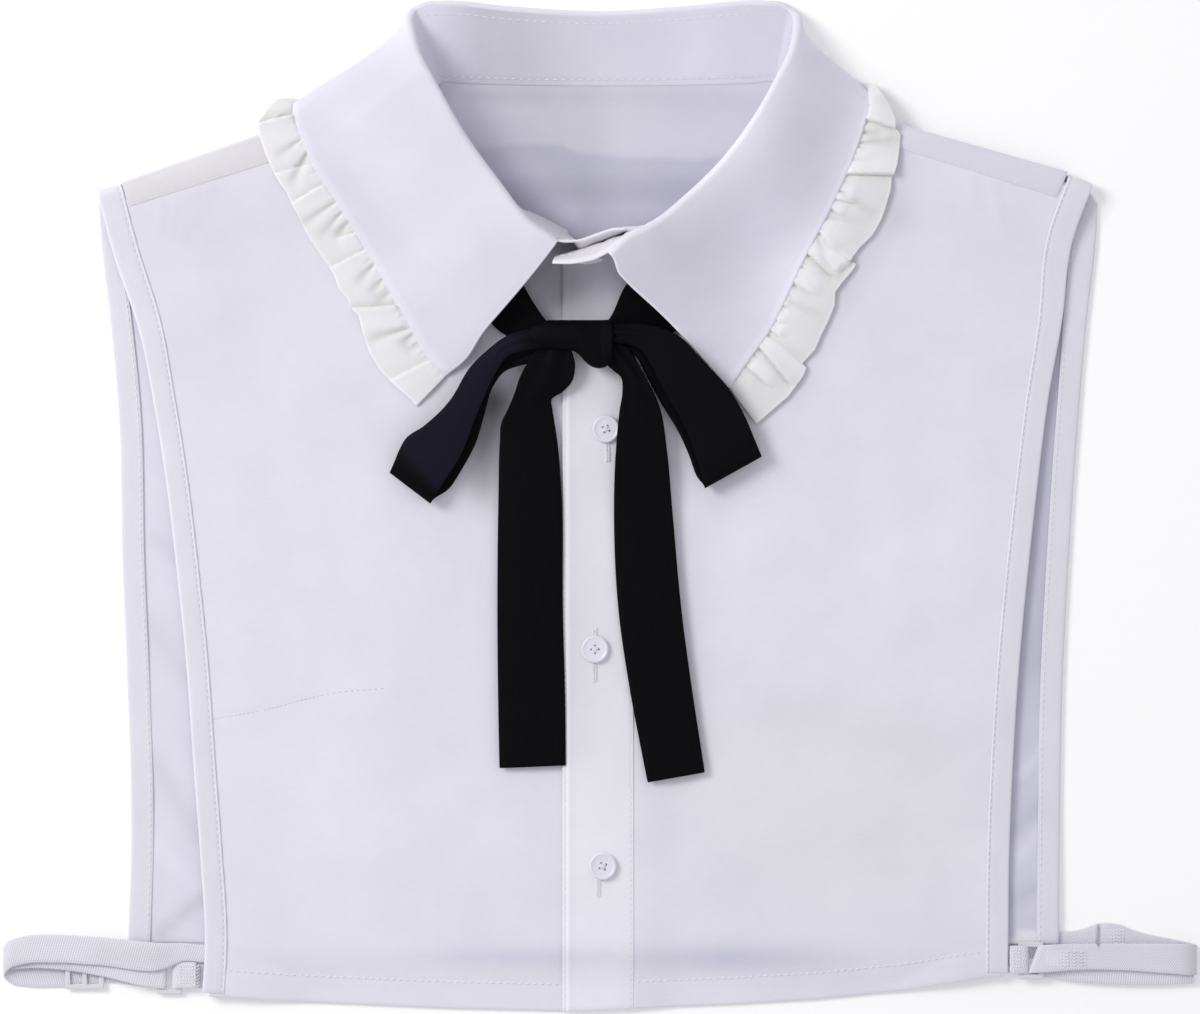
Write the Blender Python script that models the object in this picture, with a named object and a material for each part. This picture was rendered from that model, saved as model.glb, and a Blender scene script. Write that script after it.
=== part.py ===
"""Detachable shirt collar: a short false shirt of front, back, stand collar with a pleated ruffle,
ribbon bow, buttons and elastic side straps, laid flat on its back on the surface z = 0.

Every cloth piece is a sheet of points in millimetres, given a wall on both sides of those points.
x runs across the shoulders, y from the hem to the collar and z up. Left is the side at -x.
"""

import bpy
import numpy as np

METRE = 0.001  # one millimetre in scene units

# ---- driving sizes, mm ----
CLOTH = 1.2  # wall of the panels, stand and fall
BOUND = 1.6  # wall of the doubled armhole binding
TRIM = 1.0  # wall of ruffle, ribbon and elastic
SEAM = 0.35  # gap left between two sewn pieces
BINDING_WIDTH = 8.2
# How much wider a binding is at the shoulder: on the fronts, on the back's left and right.
FRONT_FLARE = 1.4
BACK_FLARE_LEFT = -0.6
BACK_FLARE_RIGHT = 1.1
PLACKET_WIDTH = 25.5
PLACKET_LEFT = -13.0
PLACKET_RISE = 1.75  # middle of the placket above the middle of the front under it
RIBBON_WIDTH_SHARE = (0.08, 0.92)  # part of the stand's height that the neck ribbon covers
RUFFLE_WIDTH = 15.5
PLEAT_PITCH = 8.0
PLEAT_DEPTH = 1.5
FLOOR_GAP = 3.0  # how far the back is lifted where the fall and ruffle lie under it
PANEL_GAP = 2.6  # middle of the front above the middle of the back
FOLD_RADIUS = 1.5  # bend at the top of the collar
FOLD_CLEAR = 0.45  # the bend starts this far above the stand
STAND_RISE = 1.0  # the stand's neck edge above the middle of the front
EDGE_RISE = 1.9  # the fall's outer edge above the middle of the front
RUFFLE_RISE = 1.8  # the ruffle's free edge above the middle of the front
FALL_CLEAR = 0.4  # gap between the fall and the panel that it lies on or under
RUFFLE_CLEAR = 0.45  # gap between the fall's edge and the ruffle
BUTTON_DIAMETER = 10.5
BUTTON_THICKNESS = 2.4
# Shares of a panel's height at which it has a row of points: close where it bends.
BACK_ROWS = (0.0, 0.14, 0.28, 0.42, 0.55, 0.67, 0.77, 0.83, 0.87, 0.91, 0.95, 1.0)
FRONT_ROWS = (
    *(0.0, 0.02, 0.045, 0.07, 0.1, 0.16, 0.23, 0.31, 0.37, 0.43),
    *(0.51, 0.6, 0.68, 0.76, 0.83, 0.89, 0.945, 1.0),
)

# ---- outlines in plan, mm: (x, y) rows from the hem upwards ----
FRONT_ARMHOLE_LEFT = (
    (-151.0, -184.0),
    (-150.1, -168.0),
    (-152.0, -130.0),
    (-154.3, -99.5),
    (-157.3, -58.0),
    (-160.4, -27.5),
    (-164.5, 7.0),
    (-169.1, 37.0),
    (-175.2, 67.5),
    (-184.7, 96.0),
    (-190.7, 118.9),
)
FRONT_ARMHOLE_RIGHT = (
    (155.0, -176.5),
    (155.4, -134.0),
    (156.9, -96.0),
    (158.8, -65.5),
    (163.0, -20.0),
    (166.4, 10.5),
    (170.2, 41.0),
    (175.6, 71.5),
    (179.6, 102.0),
    (186.6, 121.5),
)
BACK_ARMHOLE_LEFT = (
    (-179.4, -165.0),
    (-178.2, -126.0),
    (-179.7, -65.5),
    (-181.6, -20.0),
    (-182.8, 33.0),
    (-186.2, 71.5),
    (-190.0, 105.5),
    (-190.7, 118.9),
)
BACK_ARMHOLE_RIGHT = (
    (174.4, -159.0),
    (174.8, -126.0),
    (175.9, -65.5),
    (178.2, -20.0),
    (182.4, 41.0),
    (185.1, 71.5),
    (188.5, 102.0),
    (189.4, 119.5),
)
FRONT_HEM = (
    (-142.8, -185.4),
    (-118.0, -187.3),
    (-57.0, -190.0),
    (-13.0, -191.0),
    (15.0, -189.8),
    (49.0, -188.5),
    (82.0, -186.6),
    (115.5, -183.2),
    (147.0, -178.0),
)
# Shoulder folds: the two ends of each fold, outer end first.
SHOULDER_LEFT = ((-181.6, 123.6), (-68.4, 162.8))
SHOULDER_RIGHT = ((177.3, 127.7), (73.5, 157.0))
# Forward shoulder seams: outer end, then the end at the neck.
FORWARD_LEFT = ((-178.4, 114.6), (-69.4, 149.0))
FORWARD_RIGHT = ((173.4, 118.0), (71.5, 149.8))

# ---- the collar, section by section, left front end round the back to the right front end ----
# fold: top edge of the stand. seam: its neck edge. rise: fold above seam. edge: outer edge of the
# fall. under: 0 where the fall lies on the front, 1 where it has gone round under the back.
# columns: fold x, fold y, seam x, seam y, rise, edge x, edge y, under
COLLAR = (
    (-16.2, 100.7, -12.9, 105.3, 25.0, -59.3, 52.0, 0.0),
    (-26.8, 108.4, -24.9, 111.4, 24.0, -74.5, 74.0, 0.0),
    (-38.0, 122.5, -41.0, 117.0, 23.0, -86.5, 95.0, 0.0),
    (-52.5, 142.5, -57.2, 130.0, 20.5, -100.5, 118.0, 0.0),
    (-63.5, 162.0, -66.5, 139.5, 14.5, -109.5, 132.0, 0.0),
    (-66.9, 168.5, -65.5, 145.5, 12.5, -112.0, 138.5, 0.0),
    (-69.2, 175.5, -63.5, 152.5, 9.5, -114.3, 144.5, 0.0),
    (-70.6, 181.3, -62.5, 157.5, 5.0, -116.0, 149.5, 0.15),
    (-71.0, 185.3, -62.0, 160.4, 1.8, -116.3, 153.3, 0.5),
    (-70.2, 187.5, -61.2, 161.6, 0.6, -115.2, 153.6, 0.85),
    (-68.5, 189.0, -60.0, 162.0, 0.1, -111.5, 149.5, 1.0),
    (-59.0, 190.6, -53.0, 161.6, 0.0, -86.0, 148.0, 1.0),
    (-34.0, 188.4, -32.0, 161.0, 0.0, -46.5, 149.5, 1.0),
    (0.0, 186.6, 0.0, 160.7, 0.0, 0.0, 150.5, 1.0),
    (36.0, 188.8, 34.0, 161.0, 0.0, 43.5, 150.5, 1.0),
    (60.8, 190.7, 57.0, 161.6, 0.0, 71.5, 150.5, 1.0),
    (71.8, 188.2, 66.1, 161.9, 0.1, 95.8, 153.0, 1.0),
    (73.4, 185.5, 67.0, 160.7, 1.8, 100.2, 157.6, 0.85),
    (73.4, 181.8, 67.5, 158.1, 5.0, 101.7, 157.8, 0.5),
    (72.6, 176.3, 67.9, 152.8, 9.5, 101.9, 153.5, 0.15),
    (70.3, 168.7, 69.0, 145.5, 12.5, 100.7, 148.0, 0.0),
    (66.5, 161.0, 69.5, 138.7, 14.5, 98.8, 141.5, 0.0),
    (61.2, 151.2, 66.5, 131.5, 17.5, 96.1, 134.0, 0.0),
    (47.9, 132.6, 52.9, 119.6, 22.0, 88.2, 116.0, 0.0),
    (31.9, 117.0, 34.4, 111.5, 23.5, 76.4, 93.0, 0.0),
    (18.6, 106.9, 18.4, 106.9, 24.5, 63.8, 67.0, 0.0),
    (9.9, 102.6, 8.9, 104.2, 25.0, 56.6, 56.8, 0.0),
    (3.3, 96.4, 1.4, 100.0, 25.0, 49.0, 46.0, 0.0),
)
# The stand runs on past the fall at both front ends. columns: fold x, fold y, seam x, seam y, rise
STAND_UNDER_END = (
    (8.0, 105.2, 10.0, 107.6, 24.0),
    (0.0, 101.2, 0.6, 105.4, 25.0),
    (-8.0, 98.8, -7.0, 103.2, 25.0),
)
STAND_OVER_END = (
    (-3.9, 93.2, -4.9, 97.4, 25.0),
    (-10.4, 91.8, -11.2, 95.4, 25.0),
    (-16.9, 91.0, -17.6, 93.6, 23.5),
)

# Soft ridges and hollows of the fronts: ends of the line, half width, height.
# columns: x, y, x, y, width, height
SOFT_FOLDS = (
    (-147.0, -80.0, -82.0, -68.5, 5.0, 0.6),
    (150.0, -77.0, 84.0, -66.0, 6.0, 0.4),
    (-70.0, 25.0, -86.0, -70.0, 20.0, 0.6),
    (66.0, 15.0, 92.0, -80.0, 22.0, 0.6),
    (-128.0, 70.0, -118.0, -50.0, 12.0, -0.4),
    (135.0, 70.0, 122.0, -60.0, 12.0, -0.4),
    (-95.0, -120.0, -30.0, -135.0, 14.0, 0.4),
    (40.0, -130.0, 105.0, -118.0, 14.0, 0.4),
)

# Neck ribbon between the stand and the knot, heights above the front.
# columns: lower x, lower y, lower height, upper x, upper y, upper height
RIBBON_LEFT = (
    (-31.0, 62.8, 1.9, -21.6, 71.6, 4.4),
    (-40.8, 72.0, 1.8, -29.0, 84.4, 6.0),
    (-47.0, 85.6, 1.8, -33.6, 98.0, 10.0),
    (-50.6, 100.0, 2.2, -39.0, 110.0, 15.0),
)
RIBBON_RIGHT = (
    (53.5, 104.0, 2.4, 40.5, 113.5, 15.5),
    (43.0, 85.5, 2.4, 26.0, 97.5, 10.0),
    (33.0, 70.5, 2.6, 11.6, 85.0, 6.5),
    (20.0, 62.5, 3.0, 3.2, 72.4, 4.6),
)
# Bow loops, knot to far end. columns: outer x, outer y, inner x, inner y, upper ply, lower ply
LOOP_LEFT = (
    (-22.2, 67.6, -22.2, 57.0, 10.2, 7.4),
    (-35.0, 65.0, -29.8, 53.5, 10.6, 6.0),
    (-47.5, 56.2, -38.0, 42.6, 10.0, 4.4),
    (-60.5, 39.6, -44.6, 30.0, 8.2, 3.4),
    (-72.4, 26.8, -52.0, 15.5, 6.4, 2.6),
)
LOOP_LEFT_END = (-79.4, 13.6, -62.6, 2.2)
LOOP_RIGHT = (
    (5.2, 68.0, 5.2, 58.0, 10.2, 7.4),
    (17.0, 67.0, 10.8, 58.6, 10.6, 6.4),
    (31.0, 62.2, 17.6, 50.6, 10.4, 5.0),
    (44.6, 47.2, 23.8, 39.2, 9.0, 4.0),
    (54.0, 36.6, 29.4, 26.6, 7.4, 3.2),
)
LOOP_RIGHT_END = (61.6, 19.6, 39.8, 7.8)
LOOP_SHIFT = (2.6, 1.6)  # how far the lower ply is set inwards and down from the upper one
# Bow tails, knot to cut end. columns: left x, left y, right x, right y, height above the front
TAIL_LEFT = (
    (-27.6, 52.4, -12.0, 50.6, 7.6),
    (-32.0, 39.5, -17.2, 40.5, 6.0),
    (-37.4, 28.5, -15.2, 24.0, 4.6),
    (-38.8, 3.0, -14.2, 3.0, 3.9),
    (-38.8, -35.0, -14.4, -35.0, 3.7),
    (-38.5, -73.0, -13.2, -73.0, 3.7),
    (-38.0, -98.6, -13.0, -97.6, 3.6),
)
TAIL_RIGHT = (
    (5.0, 53.0, 10.4, 56.4, 8.6),
    (8.0, 47.2, 18.6, 43.4, 8.2),
    (5.8, 33.4, 24.2, 26.0, 7.4),
    (5.4, 3.0, 27.0, 0.0, 5.0),
    (7.6, -42.6, 31.2, -42.6, 4.2),
    (11.2, -67.0, 34.2, -65.0, 4.0),
    (18.2, -104.0, 39.6, -100.2, 3.9),
)
KNOT_CENTRE = (-8.6, 62.6)
KNOT_HALF = (11.8, 8.8, 4.9)  # half its width, height in plan and depth
KNOT_HEIGHT = 8.2  # its centre above the front

# Elastic straps as one run of tape each: from the back hem round the loop and back.
# columns: x, y, half width, z
STRAP_LEFT = (
    (-144.0, -169.4, 3.0, 1.8),
    (-152.5, -169.4, 3.0, 1.9),
    (-158.0, -168.8, 3.1, 3.2),
    (-165.5, -170.2, 4.6, 4.3),
    (-190.0, -168.4, 5.0, 4.3),
    (-207.0, -167.4, 5.0, 4.3),
    (-219.0, -168.0, 5.0, 4.2),
    (-225.0, -170.2, 5.0, 3.6),
    (-226.6, -172.6, 5.0, 2.4),
    (-225.0, -175.0, 5.0, 1.2),
    (-219.0, -176.6, 5.0, 0.5),
    (-205.0, -176.8, 5.0, 0.5),
    (-187.0, -175.2, 5.0, 0.5),
    (-168.5, -177.8, 5.0, 0.5),
    (-165.4, -177.8, 5.0, 1.0),
    (-164.9, -177.8, 5.0, 1.7),
    (-165.4, -177.8, 5.0, 2.4),
    (-168.5, -177.8, 5.0, 2.9),
    (-190.0, -173.6, 5.0, 2.9),
    (-205.0, -171.8, 5.0, 2.8),
    (-219.5, -171.8, 5.0, 2.6),
)
STRAP_RIGHT = (
    (148.5, -165.5, 3.6, 0.5),
    (160.0, -165.5, 4.6, 0.5),
    (186.0, -164.6, 5.0, 0.5),
    (205.0, -167.2, 5.0, 0.5),
    (219.0, -169.8, 5.0, 0.5),
    (225.2, -171.2, 5.0, 1.0),
    (226.7, -172.0, 5.0, 2.0),
    (225.2, -172.0, 5.0, 3.1),
    (219.0, -172.0, 5.0, 3.6),
    (198.0, -171.2, 5.0, 3.7),
    (178.0, -171.4, 5.0, 4.2),
    (168.5, -171.6, 5.0, 4.5),
    (165.4, -171.8, 5.0, 4.0),
    (164.9, -172.0, 5.0, 3.2),
    (165.4, -172.4, 5.0, 2.4),
    (168.5, -173.2, 5.0, 1.9),
    (180.0, -175.0, 5.0, 1.9),
    (200.0, -176.0, 5.0, 1.9),
    (219.5, -176.2, 5.0, 2.0),
)
# Tabs of the same tape, sewn to the front hem corners and looped round the ring.
TAB_LEFT = (
    (-146.0, -177.6, 4.7, 0.5),
    (-158.5, -177.6, 4.7, 0.5),
    (-162.0, -177.6, 4.7, 1.0),
    (-162.6, -177.6, 4.7, 1.7),
    (-162.0, -177.6, 4.7, 2.4),
    (-158.5, -177.6, 4.7, 2.9),
    (-153.8, -177.6, 4.7, 2.9),
)
TAB_RIGHT = (
    (149.5, -171.6, 4.9, 1.8),
    (158.5, -171.6, 4.9, 1.9),
    (162.0, -171.6, 4.9, 2.4),
    (162.6, -171.6, 4.9, 3.2),
    (162.0, -171.6, 4.9, 4.0),
    (159.0, -171.6, 4.9, 4.5),
    (156.0, -171.6, 4.9, 4.5),
)
RING_HALF = (4.4, 6.7)  # half the outer size of a ring
RING_BAR = 1.2
SLIDER_HALF = (6.4, 6.8)
RING_LEFT = (-163.8, -177.8, 1.7)
RING_RIGHT = (163.8, -172.0, 3.2)
SLIDER_LEFT = (-196.0, -175.6, 1.7)

# Buttons on the placket: x, y of each, from the top.
BUTTONS = (
    ("button_top", 2.3, 30.0),
    ("button_middle", -1.9, -53.6),
    ("button_bottom", 1.1, -136.0),
)

# ---- helpers ----


def smooth(share):
    """A soft step: 0 below 0, 1 above 1 and level at both ends."""
    share = np.clip(share, 0.0, 1.0)
    return share * share * (3.0 - 2.0 * share)


def through(rows, shares, by=slice(None)):
    """A smooth curve through the rows, read at shares of its length, as measured in the columns `by`."""
    rows = np.asarray(rows, float)
    steps = np.linalg.norm(np.diff(rows[:, by], axis=0), axis=1)
    place = np.concatenate([[0.0], np.cumsum(steps)]) / steps.sum()
    slope = np.gradient(rows, place, axis=0)
    first = np.clip(np.searchsorted(place, shares, side="right") - 1, 0, len(rows) - 2)
    span = (place[first + 1] - place[first])[:, None]
    t = (np.asarray(shares) - place[first])[:, None] / span
    start = rows[first] * (2 * t**3 - 3 * t**2 + 1) + slope[first] * span * (t**3 - 2 * t**2 + t)
    end = rows[first + 1] * (3 * t**2 - 2 * t**3) + slope[first + 1] * span * (t**3 - t**2)
    return start + end


def stations(rows, longest, by=slice(None)):
    """Shares for `through`: every row, and enough between two rows that no step is over `longest`."""
    rows = np.asarray(rows, float)
    steps = np.linalg.norm(np.diff(rows[:, by], axis=0), axis=1)
    place = np.concatenate([[0.0], np.cumsum(steps)]) / steps.sum()
    shares = [
        np.linspace(a, b, max(1, round(step / longest)), endpoint=False)
        for a, b, step in zip(place[:-1], place[1:], steps)
    ]
    return np.concatenate(shares + [[1.0]])


def inset(curve, distance):
    """The plan curve moved sideways by `distance`, to its right as it runs."""
    run = np.gradient(curve, axis=0)
    run /= np.linalg.norm(run, axis=1)[:, None]
    return curve + distance * np.stack([run[:, 1], -run[:, 0]], axis=1)


def across_binding(curve, side, flare, gap=0.0):
    """The inner edge of an armhole binding, from its outer edge."""
    y = curve[:, 1]
    width = BINDING_WIDTH + flare * smooth((y - 40.0) / 60.0)
    width = width + (FRONT_FLARE - flare) * smooth((y - 88.0) / 8.0)
    return inset(curve, side * (width + gap)[:, None])


def patch(bottom, top, left, right, rows):
    """A plan grid that fills four edges: straight lines between facing edges, less the corners."""
    across = np.linspace(0.0, 1.0, len(bottom))[None, :, None]
    up = np.asarray(rows)[:, None, None]
    between_ends = (1 - up) * bottom[None] + up * top[None]
    between_sides = (1 - across) * left[:, None] + across * right[:, None]
    low = (1 - across) * bottom[0] + across * bottom[-1]
    high = (1 - across) * top[0] + across * top[-1]
    return between_ends + between_sides - (1 - up) * low - up * high


def frill_reach(x):
    """The y at which the ruffle under the back ends."""
    return 133.5 - 1.5 * (np.abs(x) / 121.6) ** 2


def back_height(x, y):
    """Middle of the back: on the floor, and lifted where the fall and ruffle lie under it."""
    return CLOTH / 2 + FLOOR_GAP * smooth((y - frill_reach(x) + 19.0) / 13.0)


def soft_folds(x, y):
    total = np.zeros(np.shape(x))
    for ax, ay, bx, by, width, height in SOFT_FOLDS:
        run = np.array([bx - ax, by - ay])
        along = np.clip(((x - ax) * run[0] + (y - ay) * run[1]) / (run @ run), 0.0, 1.0)
        far = np.hypot(x - ax - along * run[0], y - ay - along * run[1])
        total = total + height * np.exp(-((far / width) ** 2))
    return total


def front_height(x, y):
    """Middle of the fronts: over the back, with soft folds, sinking to the floor past the back's hem."""
    x, y = np.asarray(x, float), np.asarray(y, float)
    corner = smooth((np.abs(x) - 105.0) / 35.0)
    fall = smooth((y + 184.0) / 18.0)
    held = np.maximum(fall, corner)
    loft = PANEL_GAP + soft_folds(x, y) + 0.4 * corner * smooth((-120.0 - y) / 40.0)
    under = CLOTH / 2 + FLOOR_GAP * smooth((y - frill_reach(x) + 42.0) / 40.0)
    return (under + loft) * held + 0.75 * (1 - held)


def lie_on_front(plan, above=0.0):
    """A plan grid or curve laid on the middle of the fronts, `above` higher."""
    z = front_height(plan[..., 0], plan[..., 1]) + above
    return np.concatenate([plan, z[..., None]], axis=-1)


def material(name, colour, roughness, metallic=0.0):
    made = bpy.data.materials.get(name) or bpy.data.materials.new(name)
    made.use_nodes = True
    shader = made.node_tree.nodes["Principled BSDF"]
    shader.inputs["Base Color"].default_value = (*colour, 1.0)
    shader.inputs["Roughness"].default_value = roughness
    shader.inputs["Metallic"].default_value = metallic
    return made


def add_mesh(name, points, faces, finish):
    """A mesh object of the given points (mm) and faces, without unused points."""
    used, index = np.unique(np.concatenate([np.ravel(f) for f in faces]), return_inverse=True)
    sizes = [np.shape(f) for f in faces]
    ends = np.cumsum([np.size(f) for f in faces])[:-1]
    loops = [part.reshape(size) for part, size in zip(np.split(index, ends), sizes)]
    mesh = bpy.data.meshes.new(name)
    mesh.from_pydata((points[used] * METRE).tolist(), [], [row for part in loops for row in part.tolist()])
    mesh.materials.append(finish)
    mesh.shade_smooth()
    mesh.set_sharp_from_angle(angle=0.7)
    made = bpy.data.objects.new(name, mesh)
    bpy.context.collection.objects.link(made)
    return made


def cloth(name, grid, wall, finish, keep=None):
    """A wall of cloth half each side of a grid of points, closed along its edges. `keep` marks cells."""
    rows, columns = grid.shape[:2]
    index = np.arange(rows * columns).reshape(rows, columns)
    cells = np.stack([index[:-1, :-1], index[1:, :-1], index[1:, 1:], index[:-1, 1:]], axis=-1)
    cells = cells.reshape(-1, 4) if keep is None else cells[keep]
    points = grid.reshape(-1, 3)
    a, b, c, d = points[cells].transpose(1, 0, 2)
    facing = np.cross(c - a, d - b)
    normal = np.zeros_like(points)
    for corner in range(4):
        np.add.at(normal, cells[:, corner], facing)
    normal /= np.maximum(np.linalg.norm(normal, axis=1), 1e-9)[:, None]
    count = len(points)
    edges = np.concatenate([cells[:, [0, 1]], cells[:, [1, 2]], cells[:, [2, 3]], cells[:, [3, 0]]])
    key = edges[:, 0] * count + edges[:, 1]
    rim = edges[~np.isin(key, edges[:, 1] * count + edges[:, 0])]
    sides = np.stack([rim[:, 1], rim[:, 0], rim[:, 0] + count, rim[:, 1] + count], axis=1)
    both = np.concatenate([points + normal * wall / 2, points - normal * wall / 2])
    return add_mesh(name, both, [cells, cells[:, ::-1] + count, sides], finish)


def turned(name, centre, profile, steps, right, forward, up, finish):
    """A closed solid turned round the axis `up`: profile rows are (radius, height), bottom to top."""
    radius, height = np.asarray(profile, float)[1:-1].T
    angle = np.linspace(0.0, 2 * np.pi, steps, endpoint=False)
    right, forward, up = (np.asarray(v, float) for v in (right, forward, up))
    ring = np.cos(angle)[:, None] * right + np.sin(angle)[:, None] * forward
    body = radius[:, None, None] * ring[None] + height[:, None, None] * up
    poles = np.array([profile[0][1], profile[-1][1]])[:, None] * up
    points = np.concatenate([body.reshape(-1, 3), poles]) + np.asarray(centre, float)
    index = np.arange(len(radius) * steps).reshape(len(radius), steps)
    after = np.roll(index, -1, axis=1)
    walls = np.stack([index[:-1], after[:-1], after[1:], index[1:]], axis=-1).reshape(-1, 4)
    bottom, top = len(points) - 2, len(points) - 1
    floor = np.stack([after[0], index[0], np.full(steps, bottom)], axis=1)
    lid = np.stack([index[-1], after[-1], np.full(steps, top)], axis=1)
    return add_mesh(name, points, [walls, floor, lid], finish)


def shoulder_roll(ends, outward, low, high, count):
    """Plan points and heights round a shoulder fold: from the upper ply over the fold to the lower ply."""
    ends = np.asarray(ends, float)
    angle = np.linspace(0.0, np.pi, count)[:, None]
    radius = (high - low) / 2
    plan = ends[None] - outward * radius[None, :, None] * (1 - np.sin(angle))[..., None]
    z = (high + low) / 2 + radius * np.cos(angle)
    return np.concatenate([plan, z[..., None]], axis=-1)


# ---- panels ----


def outward_of(shoulder):
    """The plan direction away from the garment, square to a shoulder fold."""
    (ax, ay), (bx, by) = shoulder
    run = np.array([bx - ax, by - ay])
    run /= np.linalg.norm(run)
    across = np.array([-run[1], run[0]])
    return across if across[1] > 0 else -across


def build_back(white):
    """The back with its shoulder flaps: hem to neck in one grid, then over each shoulder to the seam."""
    rows, side, neck = len(BACK_ROWS), 7, 8
    left = across_binding(through(BACK_ARMHOLE_LEFT, BACK_ROWS), 1, BACK_FLARE_LEFT, SEAM)
    right = across_binding(through(BACK_ARMHOLE_RIGHT, BACK_ROWS), -1, BACK_FLARE_RIGHT, SEAM)
    columns = 2 * side + neck
    shoulders = []
    for ends in (SHOULDER_LEFT, SHOULDER_RIGHT):
        line = np.linspace(ends[0], ends[1], side)
        low = back_height(line[:, 0], line[:, 1])
        high = front_height(line[:, 0], line[:, 1])
        shoulders.append(shoulder_roll(line, outward_of(ends), low, high, 5)[::-1])
    shoulders[1] = shoulders[1][:, ::-1]
    neck_x = np.linspace(-60.4, 65.6, neck)
    seam = np.array([row[2:4] for row in COLLAR if row[7] == 1.0])
    neck_line = np.stack([neck_x, np.interp(neck_x, seam[:, 0], seam[:, 1]) - SEAM - 0.1], axis=1)
    neck_line[[0, -1], 1] -= 0.8
    top = np.concatenate([shoulders[0][0, :, :2], neck_line, shoulders[1][0, :, :2]])
    left[-1], right[-1] = top[0], top[-1]
    bottom = np.linspace(left[0], right[0], columns)
    plan = patch(bottom, top, left, right, BACK_ROWS)
    body = np.concatenate([plan, back_height(plan[..., 0], plan[..., 1])[..., None]], axis=-1)
    flap_rows = []
    for roll, forward in ((shoulders[0], FORWARD_LEFT), (shoulders[1], FORWARD_RIGHT[::-1])):
        ends = np.linspace(forward[0], forward[1], side)
        flap = [lie_on_front((1 - t) * roll[-1, :, :2] + t * ends) for t in (0.5, 1.0)]
        flap_rows.append(np.concatenate([roll[1:], np.array(flap)]))
    extra = len(flap_rows[0])
    blank = body[-1, side : side + neck][None] + np.arange(1, extra + 1)[:, None, None] * [0, 1, 0]
    grid = np.concatenate([body, np.concatenate([flap_rows[0], blank, flap_rows[1]], axis=1)])
    keep = np.ones((len(grid) - 1, columns - 1), bool)
    keep[rows - 1 :, side - 1 : side + neck] = False
    return cloth("back_panel", grid, CLOTH, white, keep)


def neck_curve(first, last, count):
    """The neck seam of the collar in plan between two rows of the collar table."""
    rows = [row[2:4] for row in COLLAR[first:last]]
    return through(rows, np.linspace(0, 1, count))


def build_front(name, armhole, side, forward, neck, centre_x, lift, white):
    """One front: armhole, forward shoulder seam, neck, centre edge and hem fill a grid."""
    shoulder, count = 7, 8
    outer = through(armhole, FRONT_ROWS)
    edge = across_binding(outer, side, FRONT_FLARE, SEAM)
    seam = np.linspace(forward[0], forward[1], shoulder) - [0.0, SEAM + 0.1]
    edge[-1] = seam[0]
    top = np.concatenate([seam, neck])
    columns = shoulder + count
    hem = np.asarray(FRONT_HEM)
    hem_x = np.linspace(edge[0, 0], centre_x, columns)
    bottom = np.stack([hem_x, np.interp(hem_x, hem[:, 0], hem[:, 1])], axis=1)
    top[-1, 0] = centre_x
    edge[0] = bottom[0]
    ends = np.array([bottom[-1], top[-1]])
    centre = ends[0] + np.array(FRONT_ROWS)[:, None] * (ends[1] - ends[0])
    plan = patch(bottom, top, edge, centre, FRONT_ROWS)
    grid = lie_on_front(plan)
    grid[..., 2] += lift(plan[..., 0])
    return cloth(name, grid[:, ::side], CLOTH, white)


def build_fronts(white):
    under = np.concatenate([inset(neck_curve(0, 6, 7)[::-1], 1.3), [(11.4, 104.6)]])
    under[0] = (-69.6, 145.2)
    no_lift = np.zeros_like
    build_front("front_left", FRONT_ARMHOLE_LEFT, 1, FORWARD_LEFT, under, 11.4, no_lift, white)
    over = inset(neck_curve(20, 27, 8), -1.2)
    over[0] = (72.0, 146.0)

    def beside_placket(x):
        return (PLACKET_RISE - 0.2) * (1 - smooth((x - PLACKET_LEFT - PLACKET_WIDTH) / 20.0))

    start = PLACKET_LEFT + PLACKET_WIDTH + SEAM
    build_front(
        "front_right", FRONT_ARMHOLE_RIGHT, -1, FORWARD_RIGHT, over, start, beside_placket, white
    )


def build_placket(white):
    columns = 4
    x = np.linspace(PLACKET_LEFT, PLACKET_LEFT + PLACKET_WIDTH, columns)
    hem = np.interp(x, *np.asarray(FRONT_HEM).T)
    top = np.array([94.2, 97.0, 100.4, 103.4])
    share = np.array(FRONT_ROWS)[:, None]
    y = (1 - share) * hem + share * top
    plan = np.stack([np.broadcast_to(x, y.shape), y], axis=-1)
    return cloth("placket", lie_on_front(plan, PLACKET_RISE), 1.4, white)


def build_binding(name, front, back, side, back_flare, shoulder, white):
    """A strip along an armhole: front hem up to the shoulder, over the fold and down the back."""
    outward = outward_of(shoulder)
    outer = through(front, FRONT_ROWS)
    inner = across_binding(outer, side, FRONT_FLARE)
    low_outer = through(back, BACK_ROWS)[::-1]
    low_inner = across_binding(low_outer, -side, back_flare)
    fold = np.stack([outer[-1], inner[-1]])
    low = np.full(2, BOUND / 2)
    high = front_height(fold[:, 0], fold[:, 1])
    roll = shoulder_roll(fold + 1.2 * outward, outward, low, high, 5)
    front_rows = lie_on_front(np.stack([outer[:-1], inner[:-1]], axis=1))
    back_plan = np.stack([low_outer[1:], low_inner[1:]], axis=1)
    back_rows = np.concatenate([back_plan, np.full(back_plan.shape[:2] + (1,), BOUND / 2)], axis=-1)
    grid = np.concatenate([front_rows, roll, back_rows])
    return cloth(name, grid, BOUND, white)


# ---- collar ----


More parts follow.
